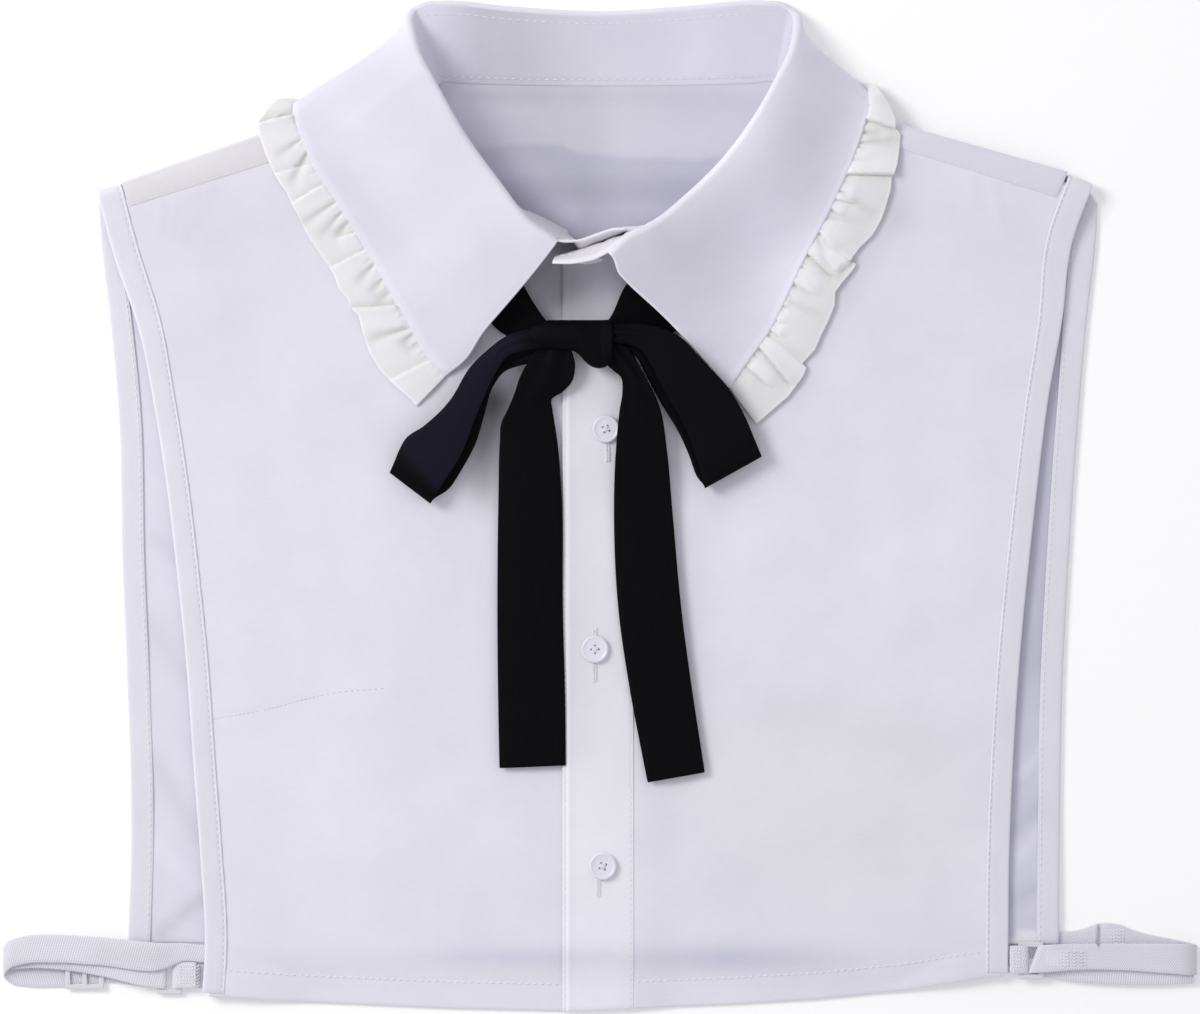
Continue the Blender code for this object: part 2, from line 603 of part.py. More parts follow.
class Collar:
    """The collar's sections: edges of the stand and fall, with directions up the stand and outwards."""

    def __init__(self):
        by = [0, 1, 2, 3, 5, 6]
        shares = stations(COLLAR, 15.0, by)
        table = through(COLLAR, shares, by)
        under = smooth(np.clip(table[:, 7], 0, 1)) * 0.5 + np.clip(table[:, 7], 0, 1) * 0.5
        self.under = under
        over_placket = (PLACKET_RISE + 0.1) * smooth((np.arange(len(table)) - len(table) + 7) / 4.0)
        seam_z = (1 - under) * (front_height(*table[:, 2:4].T) + STAND_RISE + over_placket)
        seam_z = seam_z + under * (CLOTH / 2 + FLOOR_GAP)
        self.seam = np.column_stack([table[:, 2:4], seam_z])
        self.fold = np.column_stack([table[:, 0:2], seam_z + np.maximum(table[:, 4], 0.0)])
        edge_z = (1 - under) * (front_height(*table[:, 5:7].T) + EDGE_RISE) + under * CLOTH / 2
        self.edge = np.column_stack([table[:, 5:7], edge_z])
        self.up = unit(self.fold - self.seam)
        self.outward = unit(np.cross(self.up, unit(np.gradient(self.fold, axis=0))))
        self.up = unit(np.cross(unit(np.gradient(self.fold, axis=0)), self.outward))


def unit(vectors):
    return vectors / np.linalg.norm(vectors, axis=-1)[..., None]


def stand_end(rows, above):
    """Sections of the stand past the fall: seam and fold points on the front."""
    table = np.asarray(rows, float)
    seam_z = front_height(table[:, 2], table[:, 3]) + above
    seam = np.column_stack([table[:, 2:4], seam_z])
    fold = np.column_stack([table[:, 0:2], seam_z + table[:, 4]])
    return seam, fold


def build_stand(collar, white):
    """A band about 27 mm high: upright at the front, leaning in at the sides, lying flat at the back."""
    under_seam, under_fold = stand_end(STAND_UNDER_END, STAND_RISE)
    over_seam, over_fold = stand_end(STAND_OVER_END, STAND_RISE + PLACKET_RISE + 0.1)
    seam = np.concatenate([under_seam, collar.seam, over_seam])
    fold = np.concatenate([under_fold, collar.fold, over_fold])
    share = np.linspace(0, 1, 4)[:, None, None]
    grid = (1 - share) * seam + share * fold
    return cloth("collar_stand", grid, CLOTH, white)


def fall_grid(collar):
    """From the top of the stand round a small roll and out to the edge, section by section. The roll
    turns less where the stand leans outwards."""
    lean = 42.0 * np.minimum(collar.outward[:, 2] - 0.45, 0.0) * (1 - collar.under)
    turn = np.radians(135.0 + lean + 45.0 * collar.under)[None, :, None]
    angle = turn * np.linspace(0, 1, 5)[:, None, None]
    start = collar.fold + FOLD_CLEAR * collar.up
    centre = start + FOLD_RADIUS * collar.outward
    roll = centre + FOLD_RADIUS * (np.sin(angle) * collar.up - np.cos(angle) * collar.outward)
    last = turn[0]
    heading = np.cos(last) * collar.up + np.sin(last) * collar.outward
    begin = roll[-1]
    reach = np.linalg.norm(collar.edge - begin, axis=1)[:, None]
    level = unit((collar.edge - begin) * [1.0, 1.0, 0.25])
    first, second = begin + heading * reach * 0.3, collar.edge - level * reach * 0.35
    t = np.linspace(0, 1, 7)[1:, None, None]
    spread = (1 - t) ** 3 * begin + 3 * (1 - t) ** 2 * t * first
    spread = spread + 3 * (1 - t) * t**2 * second + t**3 * collar.edge
    x, y, z = np.moveaxis(spread, -1, 0)
    on_front = np.maximum(z, front_height(x, y) + CLOTH + FALL_CLEAR)
    below_back = np.minimum(z, back_height(x, y) - CLOTH - FALL_CLEAR)
    wrapping = np.where(collar.under < 0.1, on_front, z)
    spread[..., 2] = np.where(collar.under > 0.9, below_back, wrapping)
    grid = np.concatenate([roll, spread])
    grid[..., 2] = np.maximum(grid[..., 2], CLOTH / 2)
    return grid


def ruffle_grid(fall):
    """Pleats along the fall's outer edge: each rises slowly and drops quickly, deepest at the free edge."""
    edge = fall[-1]
    out = unit(edge - fall[-3])
    lengths = np.linalg.norm(np.diff(edge, axis=0), axis=1)
    place = np.concatenate([[0.0], np.cumsum(lengths)])
    pleats = int(round(place[-1] / PLEAT_PITCH))
    within = np.array([0.0, 0.4, 0.72, 0.88])
    at = (np.arange(pleats)[:, None] + within).ravel() / pleats * place[-1]
    at = np.append(at, place[-1])
    height = np.append(np.tile([0.0, 0.6, 1.0, 0.5], pleats), 0.0)
    number = np.arange(len(at)) // 4
    uneven = 1.0 + 0.22 * np.sin(2.3 * number) + 0.12 * np.sin(5.1 * number + 1.0)
    base = np.stack([np.interp(at, place, edge[:, k]) for k in range(3)], axis=1)
    out = unit(np.stack([np.interp(at, place, out[:, k]) for k in range(3)], axis=1))
    along = unit(np.gradient(base, axis=0))
    normal = unit(np.cross(along, out))
    return base, out, normal, height * uneven, uneven


def build_ruffle(collar, fall, cream):
    base, out, normal, height, uneven = ruffle_grid(fall)
    lengths = np.linalg.norm(np.diff(fall[-1], axis=0), axis=1)
    place = np.concatenate([[0.0], np.cumsum(lengths)])
    steps = np.linalg.norm(np.diff(base, axis=0), axis=1)
    at = np.concatenate([[0.0], np.cumsum(steps)])
    under = np.interp(at / at[-1], place / place[-1], collar.under)
    turned = smooth((under - 0.15) / 0.8)
    wrap = (4.0 * under * (1 - under))[:, None]
    away = np.stack([0.1 * np.sign(base[:, 0]), np.full(len(at), 0.35), np.zeros(len(at))], axis=1)
    out = unit(out * [1.0, 1.0, 0.3] + wrap * away)
    rows = []
    for share, depth in ((0.0, 0.05), (0.45, 0.75), (1.0, 1.0)):
        width = RUFFLE_WIDTH + 1.4 * (uneven - 1.0) * 3.0
        row = base + out * (RUFFLE_CLEAR + share * width[:, None])
        on_front = front_height(row[:, 0], row[:, 1]) + RUFFLE_RISE
        flat = (1 - turned) * on_front + turned * (TRIM / 2 + PLEAT_DEPTH)
        row[:, 2] = (1 - share) * base[:, 2] + share * flat
        row += normal * (PLEAT_DEPTH * depth * height * (1 - 0.25 * under))[:, None]
        row[:, 2] = np.maximum(row[:, 2], TRIM / 2)
        rows.append(row)
    return cloth("collar_ruffle", np.array(rows), TRIM, cream)


# ---- ribbon ----


def build_neck_ribbon(collar, black):
    """Ribbon round the outside of the stand, leaving it at each side for the knot."""
    first = int(np.argmax(collar.fold[:, 1] > 135.0))
    last = len(collar.fold) - int(np.argmax(collar.fold[::-1, 1] > 127.0))
    span = collar.fold - collar.seam
    twisting = smooth((collar.fold[:, 1] - 130.0) / 20.0) * (1 - collar.under)
    gap = CLOTH / 2 + 0.45 + 0.7 * twisting[:, None] + TRIM / 2
    edges = []
    for share in RIBBON_WIDTH_SHARE:
        line = collar.seam + share * span
        outward = unit(np.cross(span, np.gradient(line, axis=0)))
        edges.append((line + outward * gap)[first:last])
    low, high = edges

    def lay(rows):
        table = np.asarray(rows, float)
        lower = lie_on_front(table[:, 0:2], table[:, 2])
        upper = lie_on_front(table[:, 3:5], table[:, 5])
        return np.concatenate([lower, upper], axis=1)

    middle = np.concatenate([low, high], axis=1)
    sections = np.concatenate([lay(RIBBON_LEFT), middle, lay(RIBBON_RIGHT)])
    shares = stations(sections, 24.0)
    table = through(sections, shares)
    share = np.linspace(0, 1, 3)[:, None, None]
    grid = (1 - share) * table[None, :, 0:3] + share * table[None, :, 3:6]
    return cloth("ribbon_neck", grid, TRIM, black)


def build_loop(name, rows, end, side, black):
    """A flattened loop of ribbon: out along the upper ply, round the far end and back underneath."""
    table = np.asarray(rows, float)
    shift = np.array([-side * LOOP_SHIFT[0], -LOOP_SHIFT[1]])
    fade = np.minimum(np.arange(len(table)) / 2.0, 1.0)[:, None]

    def ply(heights, move):
        outer = lie_on_front(table[:, 0:2] + move * fade, heights)
        inner = lie_on_front(table[:, 2:4] + move * fade, heights)
        return np.concatenate([outer, inner], axis=1)

    upper = ply(table[:, 4], np.zeros(2))
    lower = ply(table[:, 5], shift)
    tip_z = (table[-1, 4] + table[-1, 5]) / 2
    outer_tip = lie_on_front(np.array([end[0:2]]), tip_z)
    inner_tip = lie_on_front(np.array([end[2:4]]), tip_z)
    tip = np.concatenate([outer_tip, inner_tip], axis=1)
    back = 0.12 * (upper[-1] - tip[0])
    near = np.array([[0, 0, 1.1, 0, 0, 1.1]])
    sections = np.concatenate([upper, tip + back + near, tip, tip + back - near, lower[::-1]])
    table = through(sections, stations(sections, 14.0))
    share = np.linspace(0, 1, 4)[:, None, None]
    grid = (1 - share) * table[None, :, 0:3] + share * table[None, :, 3:6]
    return cloth(name, grid, TRIM, black)


def build_tail(name, rows, black):
    table = through(rows, stations(rows, 22.0))
    left = lie_on_front(table[:, 0:2], table[:, 4])
    right = lie_on_front(table[:, 2:4], table[:, 4])
    share = np.linspace(0, 1, 4)[:, None, None]
    bow = np.sin(np.pi * share) * [0.0, 0.0, 0.5]
    return cloth(name, (1 - share) * left + share * right + bow, TRIM, black)


def build_knot(black):
    """The ribbon's wrap round the loops: a soft barrel lying across them."""
    half_x, half_y, half_z = KNOT_HALF
    centre = (*KNOT_CENTRE, float(front_height(*KNOT_CENTRE)) + KNOT_HEIGHT)
    share = ((0.0, -1.0), (0.62, -1.0), (0.9, -0.82), (1.0, -0.35), (0.97, 0.2), (0.99, 0.6), (0.8, 0.94))
    profile = [*share, (0.5, 1.0), (0.0, 1.0)]
    return turned(
        "bow_knot", centre, profile, 16, (0, 0, half_z), (half_x, 0, 0), (0, half_y, 0), black
    )


# ---- buttons and straps ----


def build_button(name, centre, up, clear):
    """A round button: flat underside, rounded rim and a dished face."""
    half, thick = BUTTON_DIAMETER / 2, BUTTON_THICKNESS
    profile = (
        (0.0, 0.0),
        (half * 0.78, 0.0),
        (half, thick * 0.45),
        (half * 0.93, thick * 0.95),
        (half * 0.74, thick),
        (half * 0.55, thick * 0.62),
        (0.0, thick * 0.55),
    )
    up = np.asarray(up, float)
    right = unit(np.cross([0.0, 1.0, 0.1], up))
    return turned(name, centre, profile, 16, right, np.cross(up, right), up, clear)


def build_buttons(clear):
    for name, x, y in BUTTONS:
        z = float(front_height(x, y)) + PLACKET_RISE + 0.7 + 0.3
        build_button(name, (x, y, z), (0, 0, 1), clear)
    seam, fold = stand_end(STAND_OVER_END[:2], STAND_RISE + PLACKET_RISE + 0.1)
    middle = (seam[0] + seam[1] + fold[0] + fold[1]) / 4
    along = unit(seam[0] - seam[1])
    face = unit(np.cross(unit(fold[0] - seam[0]), along))
    if face[1] > 0:
        face = -face
    build_button("button_stand", middle + face * (CLOTH / 2 + 0.3), face, clear)


def tape(name, rows, finish):
    """A tape whose sections lie level, as wide as the table says."""
    table = through(rows, stations(rows, 11.0, [0, 1, 3]), [0, 1, 3])
    table[:, 3] = np.maximum(table[:, 3], TRIM / 2)
    width = table[:, 2]
    low = np.stack([table[:, 0], table[:, 1] - width, table[:, 3]], axis=1)
    high = np.stack([table[:, 0], table[:, 1] + width, table[:, 3]], axis=1)
    return cloth(name, np.stack([low, high]), TRIM, finish)


def frame_of_bars(name, centre, half, bars, wall, finish):
    """A flat moulded frame: `bars` uprights with a window between each pair."""
    x, y, z = centre
    uprights = np.linspace(x - half[0], x + half[0] - RING_BAR, bars)
    xs = np.sort(np.concatenate([uprights, uprights + RING_BAR]))
    ys = np.array([y - half[1], y - half[1] + RING_BAR, y + half[1] - RING_BAR, y + half[1]])
    grid = np.stack([*np.meshgrid(xs, ys, indexing="ij"), np.full((len(xs), len(ys)), z)], axis=-1)
    keep = np.ones((len(xs) - 1, len(ys) - 1), bool)
    keep[1::2, 1] = False
    return cloth(name, grid, wall, finish, keep)


def build_straps(elastic, clear):
    tape("strap_left", STRAP_LEFT, elastic)
    tape("strap_right", STRAP_RIGHT, elastic)
    tape("strap_tab_left", TAB_LEFT, elastic)
    tape("strap_tab_right", TAB_RIGHT, elastic)
    frame_of_bars("ring_left", RING_LEFT, RING_HALF, 2, 0.8, clear)
    frame_of_bars("ring_right", RING_RIGHT, RING_HALF, 2, 0.8, clear)
    frame_of_bars("slider_left", SLIDER_LEFT, SLIDER_HALF, 3, 0.8, clear)


def main():
    for old in list(bpy.data.objects):
        bpy.data.objects.remove(old)
    white = material("White_shirting", (0.80, 0.79, 0.86), 0.75)
    cream = material("Cream_ruffle_cloth", (0.86, 0.85, 0.87), 0.8)
    black = material("Black_satin_ribbon", (0.006, 0.006, 0.009), 0.45)
    elastic = material("White_elastic", (0.80, 0.79, 0.85), 0.7)
    clear = material("Clear_button_plastic", (0.75, 0.74, 0.82), 0.2)
    build_back(white)
    build_fronts(white)
    build_placket(white)
    left = (FRONT_ARMHOLE_LEFT, BACK_ARMHOLE_LEFT, 1, BACK_FLARE_LEFT, SHOULDER_LEFT)
    right = (FRONT_ARMHOLE_RIGHT, BACK_ARMHOLE_RIGHT, -1, BACK_FLARE_RIGHT, SHOULDER_RIGHT)
    build_binding("armhole_binding_left", *left, white)
    build_binding("armhole_binding_right", *right, white)
    collar = Collar()
    fall = fall_grid(collar)
    build_stand(collar, white)
    cloth("collar_fall", fall, CLOTH, white)
    build_ruffle(collar, fall, cream)
    build_neck_ribbon(collar, black)
    build_loop("bow_loop_left", LOOP_LEFT, LOOP_LEFT_END, -1, black)
    build_loop("bow_loop_right", LOOP_RIGHT, LOOP_RIGHT_END, 1, black)
    build_tail("bow_tail_left", TAIL_LEFT, black)
    build_tail("bow_tail_right", TAIL_RIGHT, black)
    build_knot(black)
    build_buttons(clear)
    build_straps(elastic, clear)


main()
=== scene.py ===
# %% [markdown]
# # Dressing a detachable shirt collar
# A detachable collar is a short false shirt: a front and a back joined at the shoulders, a real
# shirt collar with a frilled edge, a ribbon bow, a button placket and elastic straps at the sides.
# The frame holds plain, thick solids of every piece. Here each soft piece is made again as the
# thin sheet a maker would cut, laid on the form of its solid, with its seams, stitches and weave.

import bpy
import numpy as np
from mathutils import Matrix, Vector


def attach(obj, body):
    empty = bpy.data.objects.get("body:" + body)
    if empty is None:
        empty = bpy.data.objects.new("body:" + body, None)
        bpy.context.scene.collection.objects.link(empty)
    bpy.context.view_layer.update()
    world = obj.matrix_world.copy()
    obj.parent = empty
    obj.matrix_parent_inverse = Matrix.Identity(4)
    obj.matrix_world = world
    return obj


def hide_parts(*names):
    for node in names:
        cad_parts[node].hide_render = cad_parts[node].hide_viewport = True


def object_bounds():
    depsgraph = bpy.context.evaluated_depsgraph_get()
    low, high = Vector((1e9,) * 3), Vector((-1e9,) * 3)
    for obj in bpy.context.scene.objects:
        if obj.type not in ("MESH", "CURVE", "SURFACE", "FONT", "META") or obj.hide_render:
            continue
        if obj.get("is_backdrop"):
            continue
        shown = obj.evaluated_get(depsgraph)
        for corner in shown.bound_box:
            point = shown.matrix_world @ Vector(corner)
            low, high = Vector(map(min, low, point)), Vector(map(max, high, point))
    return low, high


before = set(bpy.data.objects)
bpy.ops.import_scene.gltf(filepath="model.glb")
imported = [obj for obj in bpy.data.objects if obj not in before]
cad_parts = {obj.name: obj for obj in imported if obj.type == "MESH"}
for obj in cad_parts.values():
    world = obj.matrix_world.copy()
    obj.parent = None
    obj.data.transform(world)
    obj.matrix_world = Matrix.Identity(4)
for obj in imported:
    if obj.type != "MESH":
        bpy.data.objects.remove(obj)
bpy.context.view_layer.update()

# %% [markdown]
# ## Camera, floor and light
# A garment laid on a table is seen from straight above. A long lens keeps the raised collar from
# leaning outwards. A large soft lamp to the upper left and a bright white room give cloth its
# gentle shading. The lamp stands low, so the collar leaf that faces it is lighter than the other
# one and the neck hollow lies in soft shadow.

# %% Camera straight above the garment
MM = 0.001
SEEN_WIDTH = 456.0  # width of the picture at the garment, mm
CLOTH_LEVEL = 4.0  # height at which that width is measured, mm
CAMERA_SHIFT = 0.4  # towards the collar, mm


def look_down(seen_width, level, lens=200.0, sensor=36.0):
    """Distance = seen width times focal length over sensor width, straight above the garment."""
    data = bpy.data.cameras.new("above")
    data.lens, data.sensor_width = lens, sensor
    camera = bpy.data.objects.new("above", data)
    camera.location = (0.0, CAMERA_SHIFT * MM, (level + seen_width * lens / sensor) * MM)
    data.clip_start, data.clip_end = 0.1, 20.0
    bpy.context.collection.objects.link(camera)
    bpy.context.scene.camera = camera
    return camera


camera = look_down(SEEN_WIDTH, CLOTH_LEVEL)
bpy.context.scene.view_settings.view_transform = "Standard"
print("camera height", round(camera.location.z, 3), "m")

# %% Soft white room and one large lamp
ROOM_LIGHT = 0.63
ROOM_COLOUR = (0.99, 0.985, 1.022)
LAMP_COLOUR = (1.0, 0.997, 0.96)
LAMP_POWER = 19.5
LAMP_SIZE = 0.75
LAMP_PLACE = (-1.35, 0.75, 1.3)


def light_the_room(strength, power, size, place):
    """Even light from everywhere, a hair bluer than the square lamp turned towards the origin."""
    room = bpy.data.worlds.new("white_room")
    bpy.context.scene.world = room
    room.use_nodes = True
    room.node_tree.nodes["Background"].inputs["Color"].default_value = (*ROOM_COLOUR, 1.0)
    room.node_tree.nodes["Background"].inputs["Strength"].default_value = strength
    data = bpy.data.lights.new("soft_lamp", "AREA")
    data.energy, data.size, data.color = power, size, LAMP_COLOUR
    lamp = bpy.data.objects.new("soft_lamp", data)
    lamp.location = place
    lamp.rotation_mode = "QUATERNION"
    lamp.rotation_quaternion = lamp.location.to_track_quat("Z", "Y")
    bpy.context.collection.objects.link(lamp)


light_the_room(ROOM_LIGHT, LAMP_POWER, LAMP_SIZE, LAMP_PLACE)
print("room", ROOM_LIGHT, "lamp", LAMP_POWER, "W")

# %% [markdown]
# ## Finishes
# Shirting is a plain weave: threads pass over and under each other, so the surface is a fine
# checker of bumps. Two sine waves multiplied give that checker. The waves read the piece's own UV
# map, whose unit is one metre of cloth, so the weave follows the cloth round every fold. Slow
# noise adds the faint unevenness of washed cotton.

# %% Small helpers for node materials
def add_node(finish, kind, values=(), **settings):
    """A node of the given kind, with its inputs filled in from pairs of socket and value."""
    node = finish.node_tree.nodes.new("ShaderNode" + kind)
    for key, value in settings.items():
        setattr(node, key, value)
    for socket, value in values:
        if isinstance(value, bpy.types.NodeSocket):
            finish.node_tree.links.new(value, node.inputs[socket])
        else:
            node.inputs[socket].default_value = value
    return node


def calculate(finish, operation, *values):
    """The result of one Math node."""
    node = add_node(finish, "Math", list(enumerate(values)), operation=operation)
    return node.outputs[0]


def new_finish(name, roughness, **fixed):
    """An empty material with its shader's constant values set on the sockets."""
    finish = bpy.data.materials.new(name)
    finish.use_nodes = True
    shader = finish.node_tree.nodes["Principled BSDF"]
    shader.inputs["Roughness"].default_value = roughness
    for socket, value in fixed.items():
        shader.inputs[socket.replace("_", " ")].default_value = value
    return finish, shader


def cloth_place(finish):
    """Cloth coordinates in metres: u along the piece and v across it."""
    place = add_node(finish, "UVMap", uv_map="cloth").outputs["UV"]
    return place, add_node(finish, "SeparateXYZ", [("Vector", place)])


WARM_RED, WARM_BLUE = 0.006, -0.07  # change of red and of blue for each unit of warmth


def painted(finish, colour):
    """Colour times (1 + painted light), warmed by `warm`: both are values kept on the sheet's own points,
    and 0 where a mesh has none. The painted light is light and shade painted into the colour, below 0 a
    painted shade and above 0 a painted highlight; one ply over the table is painted darker than cloth over
    cloth. The warmth is partly the cloth's own tint and partly the tint that goes with painted shade."""
    tone = add_node(finish, "Attribute", attribute_name="tone").outputs["Fac"]
    light = calculate(finish, "ADD", tone, 1.0)
    warm = add_node(finish, "Attribute", attribute_name="warm").outputs["Fac"]
    red, blue = (calculate(finish, "MULTIPLY_ADD", warm, share, light) for share in (WARM_RED, WARM_BLUE))
    factor = add_node(finish, "CombineXYZ", [("X", red), ("Y", light), ("Z", blue)])
    both = [(0, colour), (1, factor.outputs[0])]
    return add_node(finish, "VectorMath", both, operation="MULTIPLY").outputs[0]


def blend(finish, share, first, second):
    """Colour that runs from first to second as the share goes from 0 to 1."""
    mix = add_node(finish, "Mix", [("Factor", share)], data_type="RGBA")
    mix.inputs["A"].default_value, mix.inputs["B"].default_value = (*first, 1.0), (*second, 1.0)
    return mix.outputs["Result"]


def join_up(finish, shader, **sockets):
    """Links each given output to the shader's socket of that name."""
    for socket, output in sockets.items():
        finish.node_tree.links.new(output, shader.inputs[socket.replace("_", " ")])
    return finish


# %% White shirting, and the slightly warmer cloth of the frill
def shirting(name, light, shade, pitch=0.00042, relief=0.00003):
    """Plain weave: height = sin(turns of u) times sin(turns of v), plus long slubs of thick thread."""
    finish, shader = new_finish(name, 0.82, Sheen_Weight=0.12, Sheen_Roughness=0.45)
    place, split = cloth_place(finish)
    turn = 2.0 * np.pi / pitch
    warp = calculate(finish, "SINE", calculate(finish, "MULTIPLY", split.outputs["X"], turn))
    weft = calculate(finish, "SINE", calculate(finish, "MULTIPLY", split.outputs["Y"], turn))
    checker = calculate(finish, "MULTIPLY", warp, weft)
    stretch = add_node(finish, "Mapping", [("Vector", place), ("Scale", (260.0, 1500.0, 1.0))])
    slub = add_node(finish, "TexNoise", [("Vector", stretch.outputs[0]), ("Scale", 1.0), ("Detail", 2.0)])
    height = calculate(finish, "MULTIPLY_ADD", slub.outputs["Fac"], 1.2, checker)
    bump = add_node(finish, "Bump", [("Height", height), ("Strength", 0.5), ("Distance", relief)])
    soft = add_node(finish, "TexNoise", [("Vector", place), ("Scale", 26.0), ("Detail", 4.0),
                                         ("Roughness", 0.62)])
    fine = calculate(finish, "MULTIPLY_ADD", slub.outputs["Fac"], 0.35, soft.outputs["Fac"])
    ramp = add_node(finish, "ValToRGB", [("Fac", calculate(finish, "MULTIPLY", fine, 0.75))])
    for stop, position, colour in zip(ramp.color_ramp.elements, (0.32, 0.68), (shade, light)):
        stop.position, stop.color = position, (*colour, 1.0)
    colour = painted(finish, ramp.outputs["Color"])
    return join_up(finish, shader, Base_Color=colour, Normal=bump.outputs["Normal"])


white_cotton = shirting("white_shirting_cloth", (0.835, 0.82, 0.9), (0.775, 0.76, 0.85))
frill_cotton = shirting("frill_cloth", (0.86, 0.86, 0.885), (0.81, 0.81, 0.845))
print("shirting ready")

# %% Black satin ribbon
def satin(name, colour, lit, pitch=0.0006):
    """Long floating threads: fine ribs across the ribbon's width and a low, broad gloss. The `lit` colour
    is a painted sheen: the ribbon shows it as far as the sheet's painted light says."""
    finish, shader = new_finish(name, 0.6, Specular_IOR_Level=0.05)
    place, split = cloth_place(finish)
    turn = calculate(finish, "MULTIPLY", split.outputs["Y"], 2.0 * np.pi / pitch)
    rib = calculate(finish, "SINE", turn)
    stretch = add_node(finish, "Mapping", [("Vector", place), ("Scale", (90.0, 1400.0, 1.0))])
    thread = add_node(finish, "TexNoise", [("Vector", stretch.outputs[0]), ("Scale", 1.0), ("Detail", 2.0)])
    height = calculate(finish, "MULTIPLY_ADD", thread.outputs["Fac"], 1.5, rib)
    bump = add_node(finish, "Bump", [("Height", height), ("Strength", 0.25), ("Distance", 0.00002)])
    dark, pale = ([share * c for c in colour] for share in (0.6, 1.4))
    threads = blend(finish, thread.outputs["Fac"], dark, pale)
    tone = add_node(finish, "Attribute", attribute_name="tone").outputs["Fac"]
    shine = add_node(finish, "Mix", [("Factor", tone), ("A", threads)], data_type="RGBA")
    shine.inputs["B"].default_value = (*lit, 1.0)
    return join_up(finish, shader, Base_Color=shine.outputs["Result"], Normal=bump.outputs["Normal"])


# The second colour is the navy of the satin's painted sheen.
black_satin = satin("black_satin_ribbon", (0.003, 0.0029, 0.004), (0.0105, 0.0093, 0.0178))
print("satin ready")

# %% Ribbed elastic, thread and clear plastic
def ribbed_elastic(name, light, valley_shade, pitch=0.0009, slant=0.3, cord_pitch=0.0011):
    """Rubber threads pull the tape into ribs across its width: a sine of the length u, slanted by v. The
    valleys between the ribs are painted darker, as shade.
    """
    finish, shader = new_finish(name, 0.75, Sheen_Weight=0.15, Sheen_Roughness=0.4)
    split = cloth_place(finish)[1]
    slanted = calculate(finish, "MULTIPLY_ADD", split.outputs["Y"], slant, split.outputs["X"])
    rib = calculate(finish, "SINE", calculate(finish, "MULTIPLY", slanted, 2.0 * np.pi / pitch))
    across = calculate(finish, "MULTIPLY", split.outputs["Y"], 2.0 * np.pi / cord_pitch)
    cord = calculate(finish, "SINE", across)
    height = calculate(finish, "MULTIPLY_ADD", cord, 0.35, rib)
    bump = add_node(finish, "Bump", [("Height", height), ("Strength", 0.7), ("Distance", 0.00008)])
    colour = blend(finish, calculate(finish, "MULTIPLY_ADD", rib, 0.5, 0.5), valley_shade, light)
    return join_up(finish, shader, Base_Color=painted(finish, colour), Normal=bump.outputs["Normal"])


def sewing_thread(name, light, shade):
    """Twisted cotton: fine slanting stripes of painted light and shade on Object coordinates, since a
    stitch has no UV map.
    """
    finish, shader = new_finish(name, 0.6, Sheen_Weight=0.2)
    place = add_node(finish, "TexCoord").outputs["Object"]
    turned = add_node(finish, "Mapping", [("Vector", place), ("Rotation", (0.4, 0.3, 0.8))])
    twist = add_node(finish, "TexWave", [("Vector", turned.outputs[0]), ("Scale", 900.0)])
    return join_up(finish, shader, Base_Color=blend(finish, twist.outputs["Fac"], shade, light))


def clear_plastic(name, colour, transmission, roughness):
    """Moulded polyester: partly clear, with faint flow clouds."""
    finish, shader = new_finish(name, roughness, IOR=1.5, Transmission_Weight=transmission)
    place = add_node(finish, "TexCoord").outputs["Object"]
    cloud = add_node(finish, "TexNoise", [("Vector", place), ("Scale", 240.0), ("Detail", 2.0)])
    cloudy = [0.95 * c for c in colour]
    return join_up(finish, shader, Base_Color=blend(finish, cloud.outputs["Fac"], cloudy, colour))


# The elastic's second colour is the painted shade in the valleys between its ribs.
elastic_finish = ribbed_elastic("white_ribbed_elastic", (0.87, 0.86, 0.93), (0.7, 0.69, 0.77))
white_thread = sewing_thread("white_sewing_thread", (0.92, 0.91, 0.95), (0.8, 0.79, 0.85))
# The dart's thread is dark grey: a painted shadow that draws the dark line along the dart's fold.
dart_shadow_thread = sewing_thread("dart_shadow_grey_thread", (0.6, 0.58, 0.68), (0.5, 0.49, 0.58))
button_plastic = clear_plastic("clear_button_plastic", (0.9, 0.89, 0.99), 0.1, 0.28)
ring_plastic = clear_plastic("milky_ring_plastic", (0.86, 0.85, 0.92), 0.15, 0.4)
print("finishes:", len(bpy.data.materials))

# %% [markdown]
# ## The table it lies on
# A plain pale sheet, so that nothing competes with the garment. It lies a hair below zero, the
# level of the garment's underside, and glows a little, as paper on a light table does.

# %% Floor
FLOOR_GLOW = 0.11  # keeps the sheet white where the lamp is far away
FLOOR_HALF = 4.0  # half its width, m
FLOOR_LEVEL = -0.0003  # m
PAPER_DARK, PAPER_LIGHT = (0.96, 0.96, 0.965), (0.99, 0.99, 0.99)


def pale_floor(half, level):
    """One square, 2 half wide."""
    mesh = bpy.data.meshes.new("floor")
    corners = [(-half, -half, level), (half, -half, level), (half, half, level), (-half, half, level)]
    mesh.from_pydata(corners, [], [(0, 1, 2, 3)])
    finish, shader = new_finish("pale_paper", 0.95, Specular_IOR_Level=0.1, Emission_Strength=FLOOR_GLOW)
    place = add_node(finish, "TexCoord").outputs["Object"]
    grain = add_node(finish, "TexNoise", [("Vector", place), ("Scale", 500.0), ("Detail", 3.0)])
    join_up(finish, shader, Base_Color=blend(finish, grain.outputs["Fac"], PAPER_DARK, PAPER_LIGHT))
    shader.inputs["Emission Color"].default_value = (1.0, 1.0, 1.0, 1.0)
    mesh.materials.append(finish)
    made = bpy.data.objects.new("floor", mesh)
    bpy.context.collection.objects.link(made)
    return made


floor = pale_floor(FLOOR_HALF, FLOOR_LEVEL)
floor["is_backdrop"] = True
print("floor:", 2 * FLOOR_HALF, "m wide")

